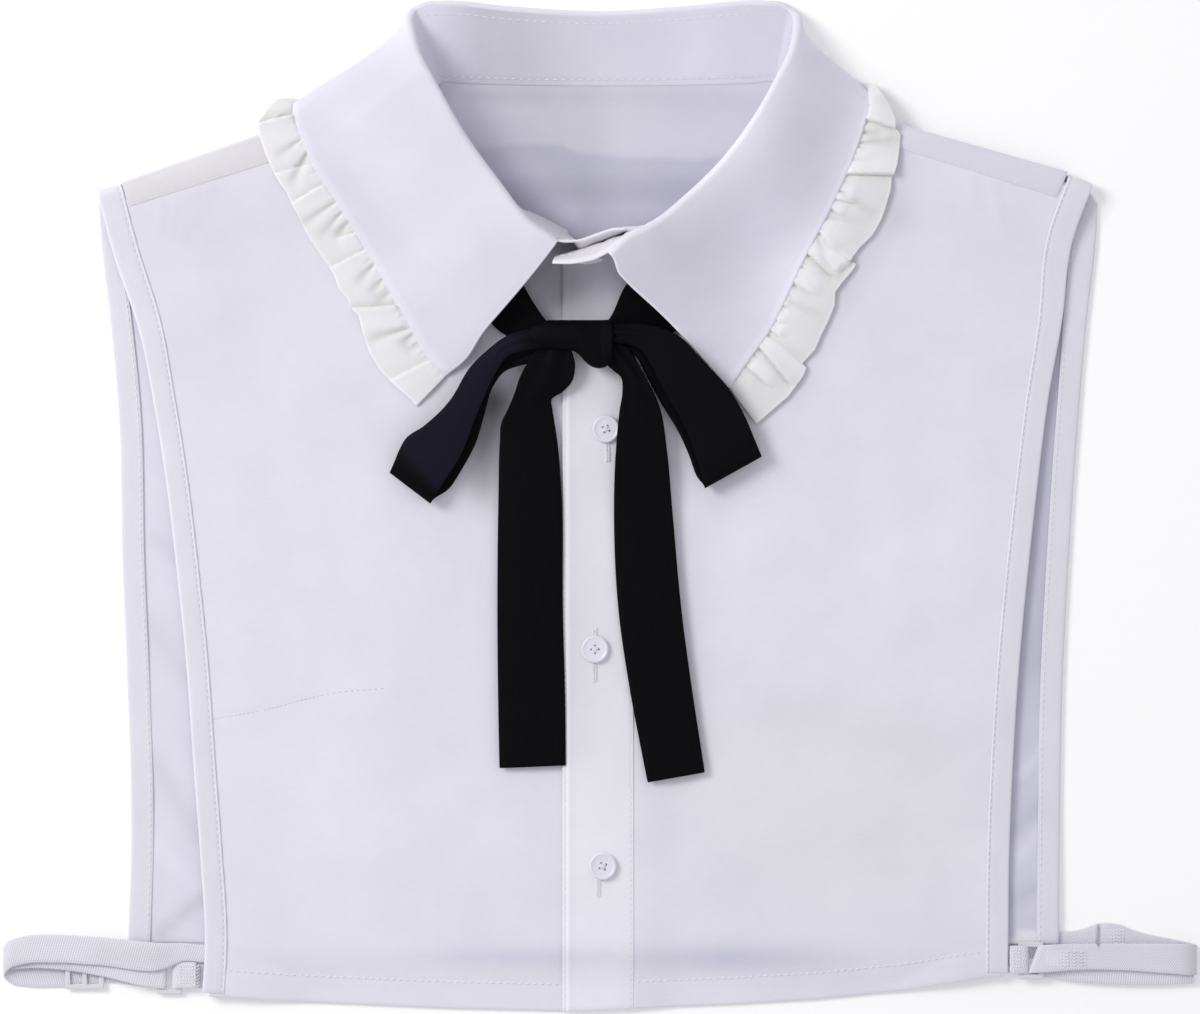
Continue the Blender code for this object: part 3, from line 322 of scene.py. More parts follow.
# %% [markdown]
# ## The garment's outlines
# These are the pattern's own lines, in millimetres: armholes, hem, shoulder folds and seams, and
# the collar section by section. The solids were made from nearly the same lines, so every sheet
# lies on its solid; a hem corner and the ends of the stand run a few millimetres past theirs.

# %% Armholes, hem and shoulders
FRONT_ARMHOLE_LEFT = (
    (-151.0, -184.0), (-150.1, -168.0), (-152.0, -130.0), (-154.3, -99.5), (-157.3, -58.0),
    (-160.4, -27.5), (-164.5, 7.0), (-169.1, 37.0), (-175.2, 67.5), (-184.7, 96.0), (-190.7, 118.9),
)
FRONT_ARMHOLE_RIGHT = (
    (155.0, -176.5), (155.4, -134.0), (156.9, -96.0), (158.8, -65.5), (163.0, -20.0),
    (166.4, 10.5), (170.2, 41.0), (175.6, 71.5), (179.6, 102.0), (186.6, 121.5),
)
BACK_ARMHOLE_LEFT = (
    (-179.4, -165.0), (-178.2, -126.0), (-179.7, -65.5), (-181.6, -20.0),
    (-182.8, 33.0), (-186.2, 71.5), (-190.0, 105.5), (-190.7, 118.9),
)
BACK_ARMHOLE_RIGHT = (
    (174.4, -165.6), (174.8, -126.0), (175.9, -65.5), (178.2, -20.0),
    (182.4, 41.0), (185.1, 71.5), (188.5, 102.0), (189.4, 119.5),
)
FRONT_HEM = (
    (-142.8, -185.4), (-118.0, -187.3), (-57.0, -190.0), (-13.0, -191.0), (15.0, -189.8),
    (49.0, -188.5), (82.0, -186.6), (115.5, -183.2), (147.0, -178.0),
)
SHOULDER_LEFT = ((-181.6, 123.6), (-68.4, 162.8))
SHOULDER_RIGHT = ((177.3, 127.7), (73.5, 157.0))
FORWARD_LEFT = ((-178.4, 114.6), (-69.4, 149.0))
FORWARD_RIGHT = ((173.4, 118.0), (71.5, 149.8))
BINDING_WIDTH = 8.2  # as folded, below the chest
FRONT_FLARE, BACK_FLARE_LEFT, BACK_FLARE_RIGHT = 1.4, -0.6, 1.1  # added to it towards the shoulder

# %% Curves through those points
def smooth(share):
    """A soft step: 0 below 0, 1 above 1 and level at both ends."""
    share = np.clip(share, 0.0, 1.0)
    return share * share * (3.0 - 2.0 * share)


def unit(vectors):
    """Each vector divided by its own length."""
    return vectors / np.maximum(np.linalg.norm(vectors, axis=-1), 1e-9)[..., None]


def lengths_to(rows, by=slice(None)):
    """Length of the run from the first row to each row."""
    steps = np.linalg.norm(np.diff(np.asarray(rows, float)[:, by], axis=0), axis=1)
    return np.concatenate([[0.0], np.cumsum(steps)])


def through(rows, shares, by=slice(None)):
    """A cubic curve through the rows, read at shares of its length: a Hermite blend whose slopes are
    the differences of the neighbouring rows."""
    rows = np.asarray(rows, float)
    place = lengths_to(rows, by)
    place = place / place[-1]
    slope = np.gradient(rows, place, axis=0)
    first = np.clip(np.searchsorted(place, shares, side="right") - 1, 0, len(rows) - 2)
    span = (place[first + 1] - place[first])[:, None]
    t = (np.asarray(shares) - place[first])[:, None] / span
    start = rows[first] * (2 * t**3 - 3 * t**2 + 1) + slope[first] * span * (t**3 - 2 * t**2 + t)
    end = rows[first + 1] * (3 * t**2 - 2 * t**3) + slope[first + 1] * span * (t**3 - t**2)
    return start + end


def finely(rows, step, by=slice(None)):
    """The curve through the rows, read at even steps of about `step` mm."""
    total = lengths_to(rows, by)[-1]
    return through(rows, np.linspace(0.0, 1.0, max(2, int(round(total / step)) + 1)), by)


def inset(curve, distance):
    """The plan curve moved sideways by `distance`, to its right as it runs."""
    run = unit(np.gradient(curve, axis=0))
    side = np.stack([run[:, 1], -run[:, 0]], axis=1)
    return curve + np.asarray(distance)[..., None] * side


def binding_width(curve, flare):
    """The binding's width changes by `flare` towards the shoulder; at the fold front and back agree."""
    y = curve[:, 1]
    chest, top = 40.0, 88.0  # where it starts to widen, and where front and back start to agree
    width = BINDING_WIDTH + flare * smooth((y - chest) / 60.0)
    return width + (FRONT_FLARE - flare) * smooth((y - top) / 8.0)


def patch(bottom, top, left, right, rows, columns):
    """A plan grid that fills four edges: straight lines between facing edges, less the corners."""
    across, up = columns[None, :, None], rows[:, None, None]
    between_ends = (1 - up) * bottom[None] + up * top[None]
    between_sides = (1 - across) * left[:, None] + across * right[:, None]
    low = (1 - across) * bottom[0] + across * bottom[-1]
    high = (1 - across) * top[0] + across * top[-1]
    return between_ends + between_sides - (1 - up) * low - up * high


print("armhole, left front:", round(float(lengths_to(FRONT_ARMHOLE_LEFT)[-1])), "mm")

# %% [markdown]
# ## How high each layer lies
# The back lies on the table. The fronts lie on the back, rise over the fall and frill that are
# tucked under the shoulders, and sink to the table past the back's hem. Soft ridges and hollows
# are lines with a rounded cross section, a bell curve of the distance from the line.

# %% Soft folds of the laid cloth
SOFT_FOLDS = (  # x, y, x, y, half width, height: the broad ones
    (-147.0, -80.0, -82.0, -68.5, 7.0, 0.2),
    (150.0, -77.0, 84.0, -66.0, 7.0, 0.2),
    (-70.0, 25.0, -86.0, -70.0, 20.0, 0.6),
    (66.0, 15.0, 92.0, -80.0, 22.0, 0.6),
    (-128.0, 70.0, -118.0, -50.0, 12.0, -0.4),
    (135.0, 70.0, 122.0, -60.0, 12.0, -0.4),
    (-95.0, -120.0, -30.0, -135.0, 14.0, 0.4),
    (40.0, -130.0, 105.0, -118.0, 14.0, 0.4),
)
FINE_FOLDS = (  # the sewn darts, drawn in along their stitches
    (-147.5, -80.4, -129.2, -77.1, 1.1, -0.22),
    (-129.2, -77.1, -101.0, -70.3, 1.1, -0.18),
    (147.0, -78.0, 112.0, -70.5, 1.2, -0.12),
)
PUCKERS = (  # slack gathered in by the forward shoulder seams
    (-165.3, 117.0, -166.5, 106.0, 1.5, 0.3),
    (-160.6, 118.0, -162.0, 104.0, 1.5, 0.34),
    (-156.6, 119.6, -158.0, 102.0, 1.5, 0.3),
    (-152.4, 121.0, -153.5, 108.0, 1.5, 0.26),
    (-147.6, 122.4, -149.0, 112.0, 1.6, 0.22),
    (150.0, 123.0, 152.5, 110.0, 1.7, 0.22),
    (141.0, 125.6, 143.0, 114.0, 1.7, 0.22),
)


def folds_at(x, y, folds):
    """Sum over the lines of height times exp(-(distance / half width) squared)."""
    total = np.zeros(np.shape(x))
    for ax, ay, bx, by, width, height in folds:
        run = np.array([bx - ax, by - ay])
        along = np.clip(((x - ax) * run[0] + (y - ay) * run[1]) / (run @ run), 0.0, 1.0)
        far = np.hypot(x - ax - along * run[0], y - ay - along * run[1])
        total = total + height * np.exp(-((far / width) ** 2))
    return total


print("soft folds:", len(SOFT_FOLDS), "puckers:", len(PUCKERS))

# %% Heights of the back and of the fronts
CLOTH = 1.2  # wall of the solids' panels
FLOOR_GAP = 3.0  # how far the back is lifted where the fall and frill lie under it
PANEL_GAP = 2.6  # middle of the fronts above the middle of the back
FRONT_ON_FLOOR = 0.75  # middle of the fronts past the back's hem
ELASTIC_LIFT = 0.75  # most that the elastic's end lifts the back's right corner
RIPPLES = (  # height, then turns of x, turns of y and start for each of two sines
    (0.16, 0.075, 0.031, 0.6, -0.021, 0.052, 1.1),
    (0.07, 0.19, -0.11, 0.0, 0.06, 0.13, 0.4),
)


def frill_reach(x):
    """The y at which the frill under the back ends."""
    return 133.5 - 1.5 * (np.abs(x) / 121.6) ** 2


def back_height(x, y):
    """Middle of the back: on the floor, and lifted where the fall and frill lie under it."""
    return CLOTH / 2 + FLOOR_GAP * smooth((y - frill_reach(x) + 19.0) / 13.0)


def elastic_lift(x, y):
    """How far the right corner of the back is lifted by the elastic's end under it."""
    return ELASTIC_LIFT * smooth((x - 135.0) / 15.0) * smooth((-112.0 - y) / 44.0)


def front_height(x, y):
    """Middle of the fronts: over the back, with soft folds, sinking to the floor past its hem."""
    x, y = np.asarray(x, float), np.asarray(y, float)
    corner = smooth((np.abs(x) - 105.0) / 35.0)
    held = np.maximum(smooth((y + 184.0) / 18.0), corner)
    loft = PANEL_GAP + folds_at(x, y, SOFT_FOLDS) + 0.4 * corner * smooth((-120.0 - y) / 40.0)
    under = CLOTH / 2 + FLOOR_GAP * smooth((y - frill_reach(x) + 42.0) / 40.0)
    return (under + loft) * held + FRONT_ON_FLOOR * (1 - held)


def front_skin(x, y):
    """The fronts with their fine folds and a slow ripple of loose cloth: each ripple is its height
    times two sines of x and y."""
    x, y = np.asarray(x, float), np.asarray(y, float)
    ripple = sum(height * np.sin(ax * x + ay * y + a) * np.sin(bx * x + by * y + b)
                 for height, ax, ay, a, bx, by, b in RIPPLES)
    calm = smooth((y + 168.0) / 25.0)
    return front_height(x, y) + folds_at(x, y, FINE_FOLDS) + folds_at(x, y, PUCKERS) + ripple * calm


def on_front(plan, above=0.0):
    """A plan grid or curve laid on the fronts, `above` higher than their middle."""
    z = front_skin(plan[..., 0], plan[..., 1]) + above
    return np.concatenate([plan, z[..., None]], axis=-1)


print("front above the table at the chest:", round(float(front_height(-80.0, 0.0)), 2), "mm")

# %% [markdown]
# ## From a grid of points to cloth
# Each sheet is a grid of points along its middle. Its two skins are that grid moved half the
# cloth's thickness to each side, and a half-round rim joins them along every free edge, as the
# folded edge of real cloth does. The UV map holds the grid's own lengths in metres.


def grid_normals(grid):
    """Cross product of the grid's two directions, each taken as a central difference."""
    return unit(np.cross(np.gradient(grid, axis=0), np.gradient(grid, axis=1)))


def cloth_lengths(grid):
    """Cloth coordinates: u is the length along the columns, v the length along the rows, from the
    middle of the sheet."""
    along = np.linalg.norm(np.diff(grid, axis=1), axis=2)
    up = np.linalg.norm(np.diff(grid, axis=0), axis=2)
    u = np.concatenate([np.zeros((len(grid), 1)), np.cumsum(along, axis=1)], axis=1)
    v = np.concatenate([np.zeros((1, grid.shape[1])), np.cumsum(up, axis=0)], axis=0)
    return np.stack([u - u[:, -1:] / 2, v - v[-1:] / 2], axis=-1)


def put_mesh(name, points, faces, finish, uv=None):
    """Points in millimetres and faces as arrays, made into a smooth shaded mesh object."""
    mesh = bpy.data.meshes.new(name)
    rows = [row for part in faces for row in np.asarray(part).tolist()]
    mesh.from_pydata((points * MM).tolist(), [], rows)
    mesh.materials.append(finish)
    mesh.shade_smooth()
    if uv is not None:
        corner = np.concatenate([np.ravel(part) for part in faces])
        layer = mesh.uv_layers.new(name="cloth")
        layer.data.foreach_set("uv", np.ascontiguousarray(uv[corner] * MM).ravel())
    made = bpy.data.objects.new(name, mesh)
    bpy.context.collection.objects.link(made)
    return made


def sheet_of_cloth(name, grid, wall, finish, keep=None, weave=None, rim=3, **paint):
    """Skins = grid plus and minus half the wall along the normals. Rim point k of an edge =
    grid + half the wall times (normal cos a + outward sin a), with a = pi k / rim. Values painted
    on the grid, such as the painted light and shade, are kept on both skins and on the rim."""
    rows, columns = grid.shape[:2]
    index = np.arange(rows * columns).reshape(rows, columns)
    cells = np.stack([index[:-1, :-1], index[1:, :-1], index[1:, 1:], index[:-1, 1:]], axis=-1)
    cells = cells.reshape(-1, 4) if keep is None else cells[keep]
    points = grid.reshape(-1, 3)
    a, b, c, d = points[cells].transpose(1, 0, 2)
    facing = np.cross(c - a, d - b)
    normal = np.zeros_like(points)
    for corner in range(4):
        np.add.at(normal, cells[:, corner], facing)
    normal = unit(normal)
    count = len(points)
    edges = np.concatenate([cells[:, [0, 1]], cells[:, [1, 2]], cells[:, [2, 3]], cells[:, [3, 0]]])
    key = edges[:, 0] * count + edges[:, 1]
    free = edges[~np.isin(key, edges[:, 1] * count + edges[:, 0])]
    away = np.zeros_like(points)
    push = unit(np.cross(points[free[:, 1]] - points[free[:, 0]], normal[free].sum(axis=1)))
    np.add.at(away, free[:, 0], push)
    np.add.at(away, free[:, 1], push)
    border = np.unique(free)
    slot = np.zeros(count, int)
    slot[border] = np.arange(len(border))
    out = unit(away[border])
    rings = [points[border] + wall / 2 * (normal[border] * np.cos(t) + out * np.sin(t))
             for t in np.pi * np.arange(1, rim) / rim]
    layers = [free] + [2 * count + k * len(border) + slot[free] for k in range(rim - 1)] + [free + count]
    sides = [np.stack([p[:, 1], p[:, 0], q[:, 0], q[:, 1]], axis=1) for p, q in zip(layers, layers[1:])]
    lengths = (cloth_lengths(grid) if weave is None else weave).reshape(-1, 2)
    both = np.concatenate([points + normal * wall / 2, points - normal * wall / 2, *rings])
    uv = np.concatenate([lengths, lengths] + [lengths[border]] * (rim - 1))
    made = put_mesh(name, both, [cells, cells[:, ::-1] + count, *sides], finish, uv)
    for label, values in paint.items():
        spread = np.broadcast_to(values, grid.shape[:2]).reshape(-1)
        layer = made.data.attributes.new(label, "FLOAT", "POINT")
        layer.data.foreach_set("value", np.concatenate([spread, spread] + [spread[border]] * (rim - 1)))
    return made


def strip_on_rails(first, last, section):
    """A strip between two rails: point = first + share across (last - first) + height times the
    normal, where each row of `section` is (share across, height)."""
    share, height = np.asarray(section, float).T
    normal = unit(np.cross(np.gradient((first + last) / 2, axis=0), last - first))
    normal = normal if normal[0, 2] > 0 else -normal
    flat = first[None] + share[:, None, None] * (last - first)[None]
    return flat + height[:, None, None] * normal[None]


# %% [markdown]
# ## Stitches
# A machine stitch shows as a short raised bar of thread that dives into the cloth at both ends.
# One small bar is worked out once and then placed along a seam at an even pitch, all in one array.
# Each run of like stitches is one piece.

# %% The stitch maker
UPWARDS = np.array([0.0, 0.0, 1.0])
BAR_SIDES = 6
stitch_pieces = []


def thread_bars(name, centre, along, up, length, thick, finish, lift=0.3):
    """Bars of thread: stations s from -1 to 1 along the bar, radius falling to a third at the ends,
    and height = thick times (lift - 0.9 times s to the fourth)."""
    s = np.array([-1.0, -0.7, 0.0, 0.7, 1.0])
    radius = np.array([0.3, 0.85, 1.0, 0.85, 0.3]) * thick / 2
    angle = np.linspace(0.0, 2 * np.pi, BAR_SIDES, endpoint=False)
    along, up = unit(along), unit(np.broadcast_to(up, along.shape))
    side = unit(np.cross(along, up))
    rise = thick * (lift - 0.9 * s**4)
    spine = centre[:, None] + along[:, None] * (s * length / 2)[None, :, None]
    spine = spine + up[:, None] * rise[None, :, None]
    ring = side[:, None] * np.cos(angle)[None, :, None] + up[:, None] * np.sin(angle)[None, :, None]
    points = spine[:, :, None] + ring[:, None] * radius[None, :, None, None]
    bars = len(centre)
    fan = (bars, BAR_SIDES)
    ends = spine[:, [0, -1]] + along[:, None] * np.array([-0.1, 0.1])[None, :, None] * thick
    index = np.arange(bars * len(s) * BAR_SIDES).reshape(bars, len(s), BAR_SIDES)
    after = np.roll(index, -1, axis=2)
    walls = np.stack([index[:, :-1], index[:, 1:], after[:, 1:], after[:, :-1]], axis=-1).reshape(-1, 4)
    tip = index.size + np.arange(bars * 2).reshape(bars, 2)
    low = np.stack([after[:, 0], np.broadcast_to(tip[:, :1], fan), index[:, 0]], axis=-1)
    high = np.stack([index[:, -1], np.broadcast_to(tip[:, 1:], fan), after[:, -1]], axis=-1)
    both = np.concatenate([points.reshape(-1, 3), ends.reshape(-1, 3)])
    stitch_pieces.append(put_mesh(name, both, [walls, low.reshape(-1, 3), high.reshape(-1, 3)], finish))


def seam(name, path, up, pitch, fill, thick, finish=white_thread):
    """Bars along a path, one every `pitch` mm, each `fill` of the pitch long."""
    up = np.broadcast_to(up, path.shape)
    place = lengths_to(path)
    middle = np.arange(0.5 * pitch, place[-1] - 0.3 * pitch, pitch)

    def at(values):
        """The values read at the middle of each stitch."""
        return np.stack([np.interp(middle, place, values[:, k]) for k in range(3)], axis=1)

    run = at(np.gradient(path, axis=0))
    thread_bars(name, at(path), run, at(up), fill * pitch, thick, finish)
    print(f"{name}: {len(middle)} stitches over {place[-1] / 10:.1f} cm")


def line_on(grid, share, lift, station):
    """A line along a sheet's rows at a share of its height, and its normals, lifted to the side that
    faces up at the given station of the line."""
    normal = grid_normals(grid)
    place = share * (len(grid) - 1)
    low = min(int(place), len(grid) - 2)
    part = place - low
    line = (1 - part) * grid[low] + part * grid[low + 1]
    up = unit((1 - part) * normal[low] + part * normal[low + 1])
    up = up if up[station, 2] > 0 else -up
    return line + up * lift, up


# %% [markdown]
# ## Back panel
# The back is cut on the fold and reaches over the shoulders to forward seams at the front. One
# grid runs from the hem to the neck, and two flaps roll over the shoulder folds. Its side edges
# run on into the armhole bindings.

# %% Back panel
PANEL_WALL = 0.5
TUCK = 5.6  # how far a panel's side edge runs into its binding, mm
BACK_ROWS = np.concatenate([
    [0.0, 0.004, 0.012, 0.022], np.linspace(0.035, 0.78, 110), np.linspace(0.785, 1.0, 70),
])
FLAP_SHARES = np.array([0.12, 0.25, 0.4, 0.55, 0.7, 0.82, 0.9, 0.955, 1.0])  # from fold to forward seam
ROLL_STEPS = 11
FLAP_PAINTED_SHADE, FLAP_WARM = -0.05, (0.65, -0.1)  # painted shade, then warmth of the left and of the right flap
NECK_BACK = (  # where the back's neck edge ends under the stand
    (-62.0, 162.4), (-53.0, 162.3), (-32.0, 161.7), (0.0, 161.4), (34.0, 161.7), (57.0, 162.3),
    (68.0, 162.4),
)
HOLLOW_SHADES = (  # x, y, x, y, half width, painted light: lighter in the leaf's shadow, darker under the seam
    (-52.0, 153.0, -15.0, 111.0, 8.0, 0.16), (-48.0, 158.0, 46.0, 158.0, 3.8, -0.05),
    (-46.0, 158.0, -22.0, 158.0, 4.6, -0.07), (-30.0, 128.0, -12.0, 112.0, 7.0, 0.08),
    (10.0, 140.0, 50.0, 141.0, 9.0, 0.04),
)
TUCKED_EDGE = (  # the fall's lower edge, folded away behind the back
    (-60.0, 136.8), (-46.4, 137.2), (-25.0, 138.2), (-14.4, 137.8), (-8.1, 134.8), (0.0, 134.4),
    (10.8, 133.0), (22.8, 133.2), (36.0, 132.2), (44.0, 133.8), (60.0, 134.5),
)
SIDE_SHADES = (  # x, y, x, y, half width, painted light and shade of the back's slack inside the armholes
    (-169.0, -11.5, -161.0, -19.3, 3.0, -0.07), (-171.2, -43.9, -157.8, -64.0, 5.0, -0.07),
    (-169.0, -97.6, -153.3, -124.4, 4.5, -0.08), (-169.0, -128.8, -153.5, -144.5, 4.0, 0.04),
    (-166.8, -161.2, -152.3, -149.0, 2.8, -0.13), (159.8, -101.5, 168.2, -92.0, 2.4, 0.1),
    (159.8, -132.3, 167.0, -122.8, 2.4, 0.1), (157.4, -122.8, 167.0, -113.3, 2.6, -0.08),
    (156.3, -149.0, 165.8, -144.2, 3.2, -0.1), (166.0, -60.0, 172.0, -30.0, 4.0, -0.05),
)


def outward_of(shoulder):
    """The plan direction away from the garment, square to a shoulder fold."""
    (ax, ay), (bx, by) = shoulder
    run = np.array([bx - ax, by - ay]) / np.hypot(bx - ax, by - ay)
    across = np.array([-run[1], run[0]])
    return across if across[1] > 0 else -across


def shoulder_roll(line, outward, low, high, count):
    """Round a shoulder fold: a half circle from the upper ply over the fold to the lower ply."""
    angle = np.linspace(0.0, np.pi, count)[:, None]
    radius = (high - low) / 2
    plan = line[None] - outward * radius[None, :, None] * (1 - np.sin(angle))[..., None]
    z = (high + low) / 2 + radius * np.cos(angle)
    return np.concatenate([plan, z[..., None]], axis=-1)


def back_skin(x, y):
    """The back with the slack that shows inside the armholes and inside the neck."""
    at_sides = smooth((-20.0 - y) / 60.0) * smooth((np.abs(x) - 150.0) / 12.0)
    at_neck = smooth((y - 95.0) / 30.0) * smooth((158.0 - y) / 12.0)
    slack = 0.35 * np.abs(at_sides * np.sin(0.055 * y + 0.02 * x)) + 0.14 * at_neck * np.sin(0.11 * x + 0.5)
    return back_height(x, y) + slack + elastic_lift(x, y)


def back_panel_grid(side=64, neck=70):
    """The back, filled between its hem, sides and top, with the two flaps that go on from its
    shoulders. Columns: `side` at each shoulder and `neck` between them, where no flap is kept."""
    left = through(BACK_ARMHOLE_LEFT, BACK_ROWS)
    right = through(BACK_ARMHOLE_RIGHT, BACK_ROWS)
    left = inset(left, binding_width(left, BACK_FLARE_LEFT) - TUCK)
    right = inset(right, -(binding_width(right, BACK_FLARE_RIGHT) - TUCK))
    rolls = []
    for ends in (SHOULDER_LEFT, SHOULDER_RIGHT):
        line = np.linspace(ends[0], ends[1], side)
        low = back_height(line[:, 0], line[:, 1])
        high = front_height(line[:, 0], line[:, 1])
        rolls.append(shoulder_roll(line, outward_of(ends), low, high, ROLL_STEPS)[::-1])
    rolls[1] = rolls[1][:, ::-1]
    neck_x = np.linspace(-61.4, 66.6, neck)
    neck_line = np.stack([neck_x, np.interp(neck_x, *np.transpose(NECK_BACK))], axis=1)
    top = np.concatenate([rolls[0][0, :, :2], neck_line, rolls[1][0, :, :2]])
    left[-1], right[-1] = top[0], top[-1]
    columns = np.linspace(0.0, 1.0, len(top))
    bottom = left[0] + columns[:, None] * (right[0] - left[0])
    plan = patch(bottom, top, left, right, BACK_ROWS, columns)
    body = np.concatenate([plan, back_skin(plan[..., 0], plan[..., 1])[..., None]], axis=-1)
    body[-1, :side, 2], body[-1, side + neck :, 2] = rolls[0][0, :, 2], rolls[1][0, :, 2]
    flaps = []
    laps = 0.35 * smooth(FLAP_SHARES / 0.3) - 0.22 * smooth((FLAP_SHARES - 0.75) / 0.25)
    for roll, forward in ((rolls[0], FORWARD_LEFT), (rolls[1], FORWARD_RIGHT[::-1])):
        seam_line = np.linspace(forward[0], forward[1], side)
        flap = [on_front((1 - t) * roll[-1, :, :2] + t * seam_line, lap)
                for t, lap in zip(FLAP_SHARES, laps)]
        flaps.append(np.concatenate([roll[1:], np.array(flap)]))
    extra = len(flaps[0])
    blank = body[-1, side : side + neck][None] + np.arange(1, extra + 1)[:, None, None] * [0, 1, 0]
    grid = np.concatenate([body, np.concatenate([flaps[0], blank, flaps[1]], axis=1)])
    keep = np.ones((len(grid) - 1, grid.shape[1] - 1), bool)
    keep[len(BACK_ROWS) - 1 :, side - 1 : side + neck] = False
    return grid, keep, flaps


def back_tones(grid, body_rows):
    """Painted light and warmth of the back. One ply is painted darker than two, for the shade seen through
    thin cloth; the neck hollow is painted darkest and bluest below the tucked fall's edge, in the collar's
    shade. In the armholes the right strip is painted darker, in the front's shadow, but for a lighter,
    warmer strip at its hem. The shoulder flaps lie on two plies and look neutral white."""
    x, y = grid[..., 0], grid[..., 1]
    two_plies = smooth((y - np.interp(x, *np.transpose(TUCKED_EDGE)) + 1.6) / 3.2)
    hollow = -0.38 + 0.13 * two_plies + 0.08 * smooth((x + 8.0) / 20.0) + folds_at(x, y, HOLLOW_SHADES)
    inside = smooth((76.0 - np.abs(x)) / 6.0) * smooth((y - 84.0) / 10.0)
    sides = np.where(x < 0, -0.03, -0.25 + 0.09 * smooth((-50.0 - y) / 60.0))
    sides = sides + folds_at(x, y, SIDE_SHADES)
    # A lighter, warmer strip of painted light along the right back's hem.
    hem = smooth((-162.4 - y + 0.26 * (x - 155.0)) / 1.2) * (x > 120.0)
    tone = sides + (hollow - sides) * inside + 0.22 * hem
    tone[body_rows:] = FLAP_PAINTED_SHADE
    warm = np.where(x < 0, -0.3, -0.9 + 1.4 * hem) * (1 - inside) + (-0.75 + 0.5 * two_plies) * inside
    warm[body_rows:] = np.where(x[body_rows:] < 0, *FLAP_WARM)
    return tone, warm


back_grid, back_keep, back_flaps = back_panel_grid()
back_tone, back_warm = back_tones(back_grid, len(BACK_ROWS) + 4)
back_panel = sheet_of_cloth("back_panel_cloth", back_grid, PANEL_WALL, white_cotton, back_keep,
                            tone=back_tone, warm=back_warm)

# %% [markdown]
# ## Fronts
# Each front is a grid filled between its armhole, its forward shoulder seam, its neck, its centre
# edge and its hem. Rows lie closer together near the hem, where the doubled hem makes a low step.

# %% Front panels
HEM_DEPTH = 11.2
HEM_STITCHED = HEM_DEPTH - 1.4  # height of the stitches above the hem's edge
PLACKET_WIDTH = 25.5
PLACKET_LEFT = -13.0
PLACKET_RISE = 1.75
LEFT_CENTRE, RIGHT_CENTRE = 11.4, 8.6  # x of the fronts' centre edges: the left one reaches past the middle
FRONT_ROWS = np.concatenate([
    [0.0, 0.0015, 0.004, 0.009], np.linspace(0.014, 0.05, 10), np.linspace(0.056, 0.988, 165),
    [0.993, 0.997, 1.0],
])
COLLAR = (  # fold x, y, seam x, y, rise, edge x, y, share tucked under the back
    (-16.2, 100.7, -12.9, 105.3, 25.0, -58.4, 51.5, 0.0),
    (-16.9, 101.2, -13.5, 105.6, 25.0, -59.8, 52.4, 0.0),
    (-26.8, 108.4, -24.9, 111.4, 24.0, -74.5, 74.0, 0.0),
    (-38.0, 122.5, -41.0, 117.0, 23.0, -86.5, 95.0, 0.0),
    (-52.5, 142.5, -57.2, 130.0, 20.5, -100.5, 118.0, 0.0),
    (-63.5, 162.0, -66.5, 139.5, 14.5, -109.5, 132.0, 0.0),
    (-66.9, 168.5, -65.5, 145.5, 12.5, -112.0, 138.5, 0.0),
    (-69.2, 175.5, -63.5, 152.5, 9.5, -114.3, 144.5, 0.0),
    (-70.6, 181.3, -62.5, 157.5, 5.0, -116.0, 149.5, 0.15),
    (-71.0, 185.3, -62.0, 160.4, 1.8, -116.3, 153.3, 0.5),
    (-70.2, 187.5, -61.2, 161.6, 0.6, -115.2, 153.6, 0.85),
    (-68.5, 189.0, -60.0, 162.0, 0.1, -111.5, 149.5, 1.0),
    (-59.0, 190.6, -53.0, 161.6, 0.0, -86.0, 148.0, 1.0),
    (-34.0, 188.4, -32.0, 161.0, 0.0, -46.5, 149.5, 1.0),
    (0.0, 186.6, 0.0, 160.7, 0.0, 0.0, 150.5, 1.0),
    (36.0, 188.8, 34.0, 161.0, 0.0, 43.5, 150.5, 1.0),
    (60.8, 190.7, 57.0, 161.6, 0.0, 71.5, 150.5, 1.0),
    (71.8, 188.2, 66.1, 161.9, 0.1, 95.8, 153.0, 1.0),
    (73.4, 185.5, 67.0, 160.7, 1.8, 100.2, 157.6, 0.85),
    (73.4, 181.8, 67.5, 158.1, 5.0, 101.7, 157.8, 0.5),
    (72.6, 176.3, 67.9, 152.8, 9.5, 101.9, 153.5, 0.15),
    (70.3, 168.7, 69.0, 145.5, 12.5, 100.7, 148.0, 0.0),
    (66.5, 161.0, 69.5, 138.7, 14.5, 98.8, 141.5, 0.0),
    (61.2, 151.2, 66.5, 131.5, 17.5, 96.1, 134.0, 0.0),
    (47.9, 132.6, 52.9, 119.6, 22.0, 88.2, 116.0, 0.0),
    (31.9, 117.0, 34.4, 111.5, 23.5, 76.4, 93.0, 0.0),
    (18.6, 106.9, 18.4, 106.9, 24.5, 63.8, 67.0, 0.0),
    (9.9, 102.6, 8.9, 104.2, 25.0, 56.6, 56.8, 0.0),
    (3.3, 96.4, 1.4, 100.0, 25.0, 49.0, 46.0, 0.0),
)


def hem_y(x):
    """The hem of the fronts."""
    hem = np.asarray(FRONT_HEM)
    return np.interp(x, hem[:, 0], hem[:, 1])


def neck_curve(first, last, count):
    """The neck seam in plan between two rows of the collar table."""
    return through([row[2:4] for row in COLLAR[first:last]], np.linspace(0, 1, count))


def hem_step(x, y):
    """The doubled hem is thicker: a small step down at its sewn line, and a dip along the stitches."""
    above = y - hem_y(x)
    doubled = 1 - smooth((above - HEM_DEPTH + 0.6) / 1.4)
    return 0.2 * doubled - 0.16 * np.exp(-(((above - HEM_STITCHED) / 0.9) ** 2))


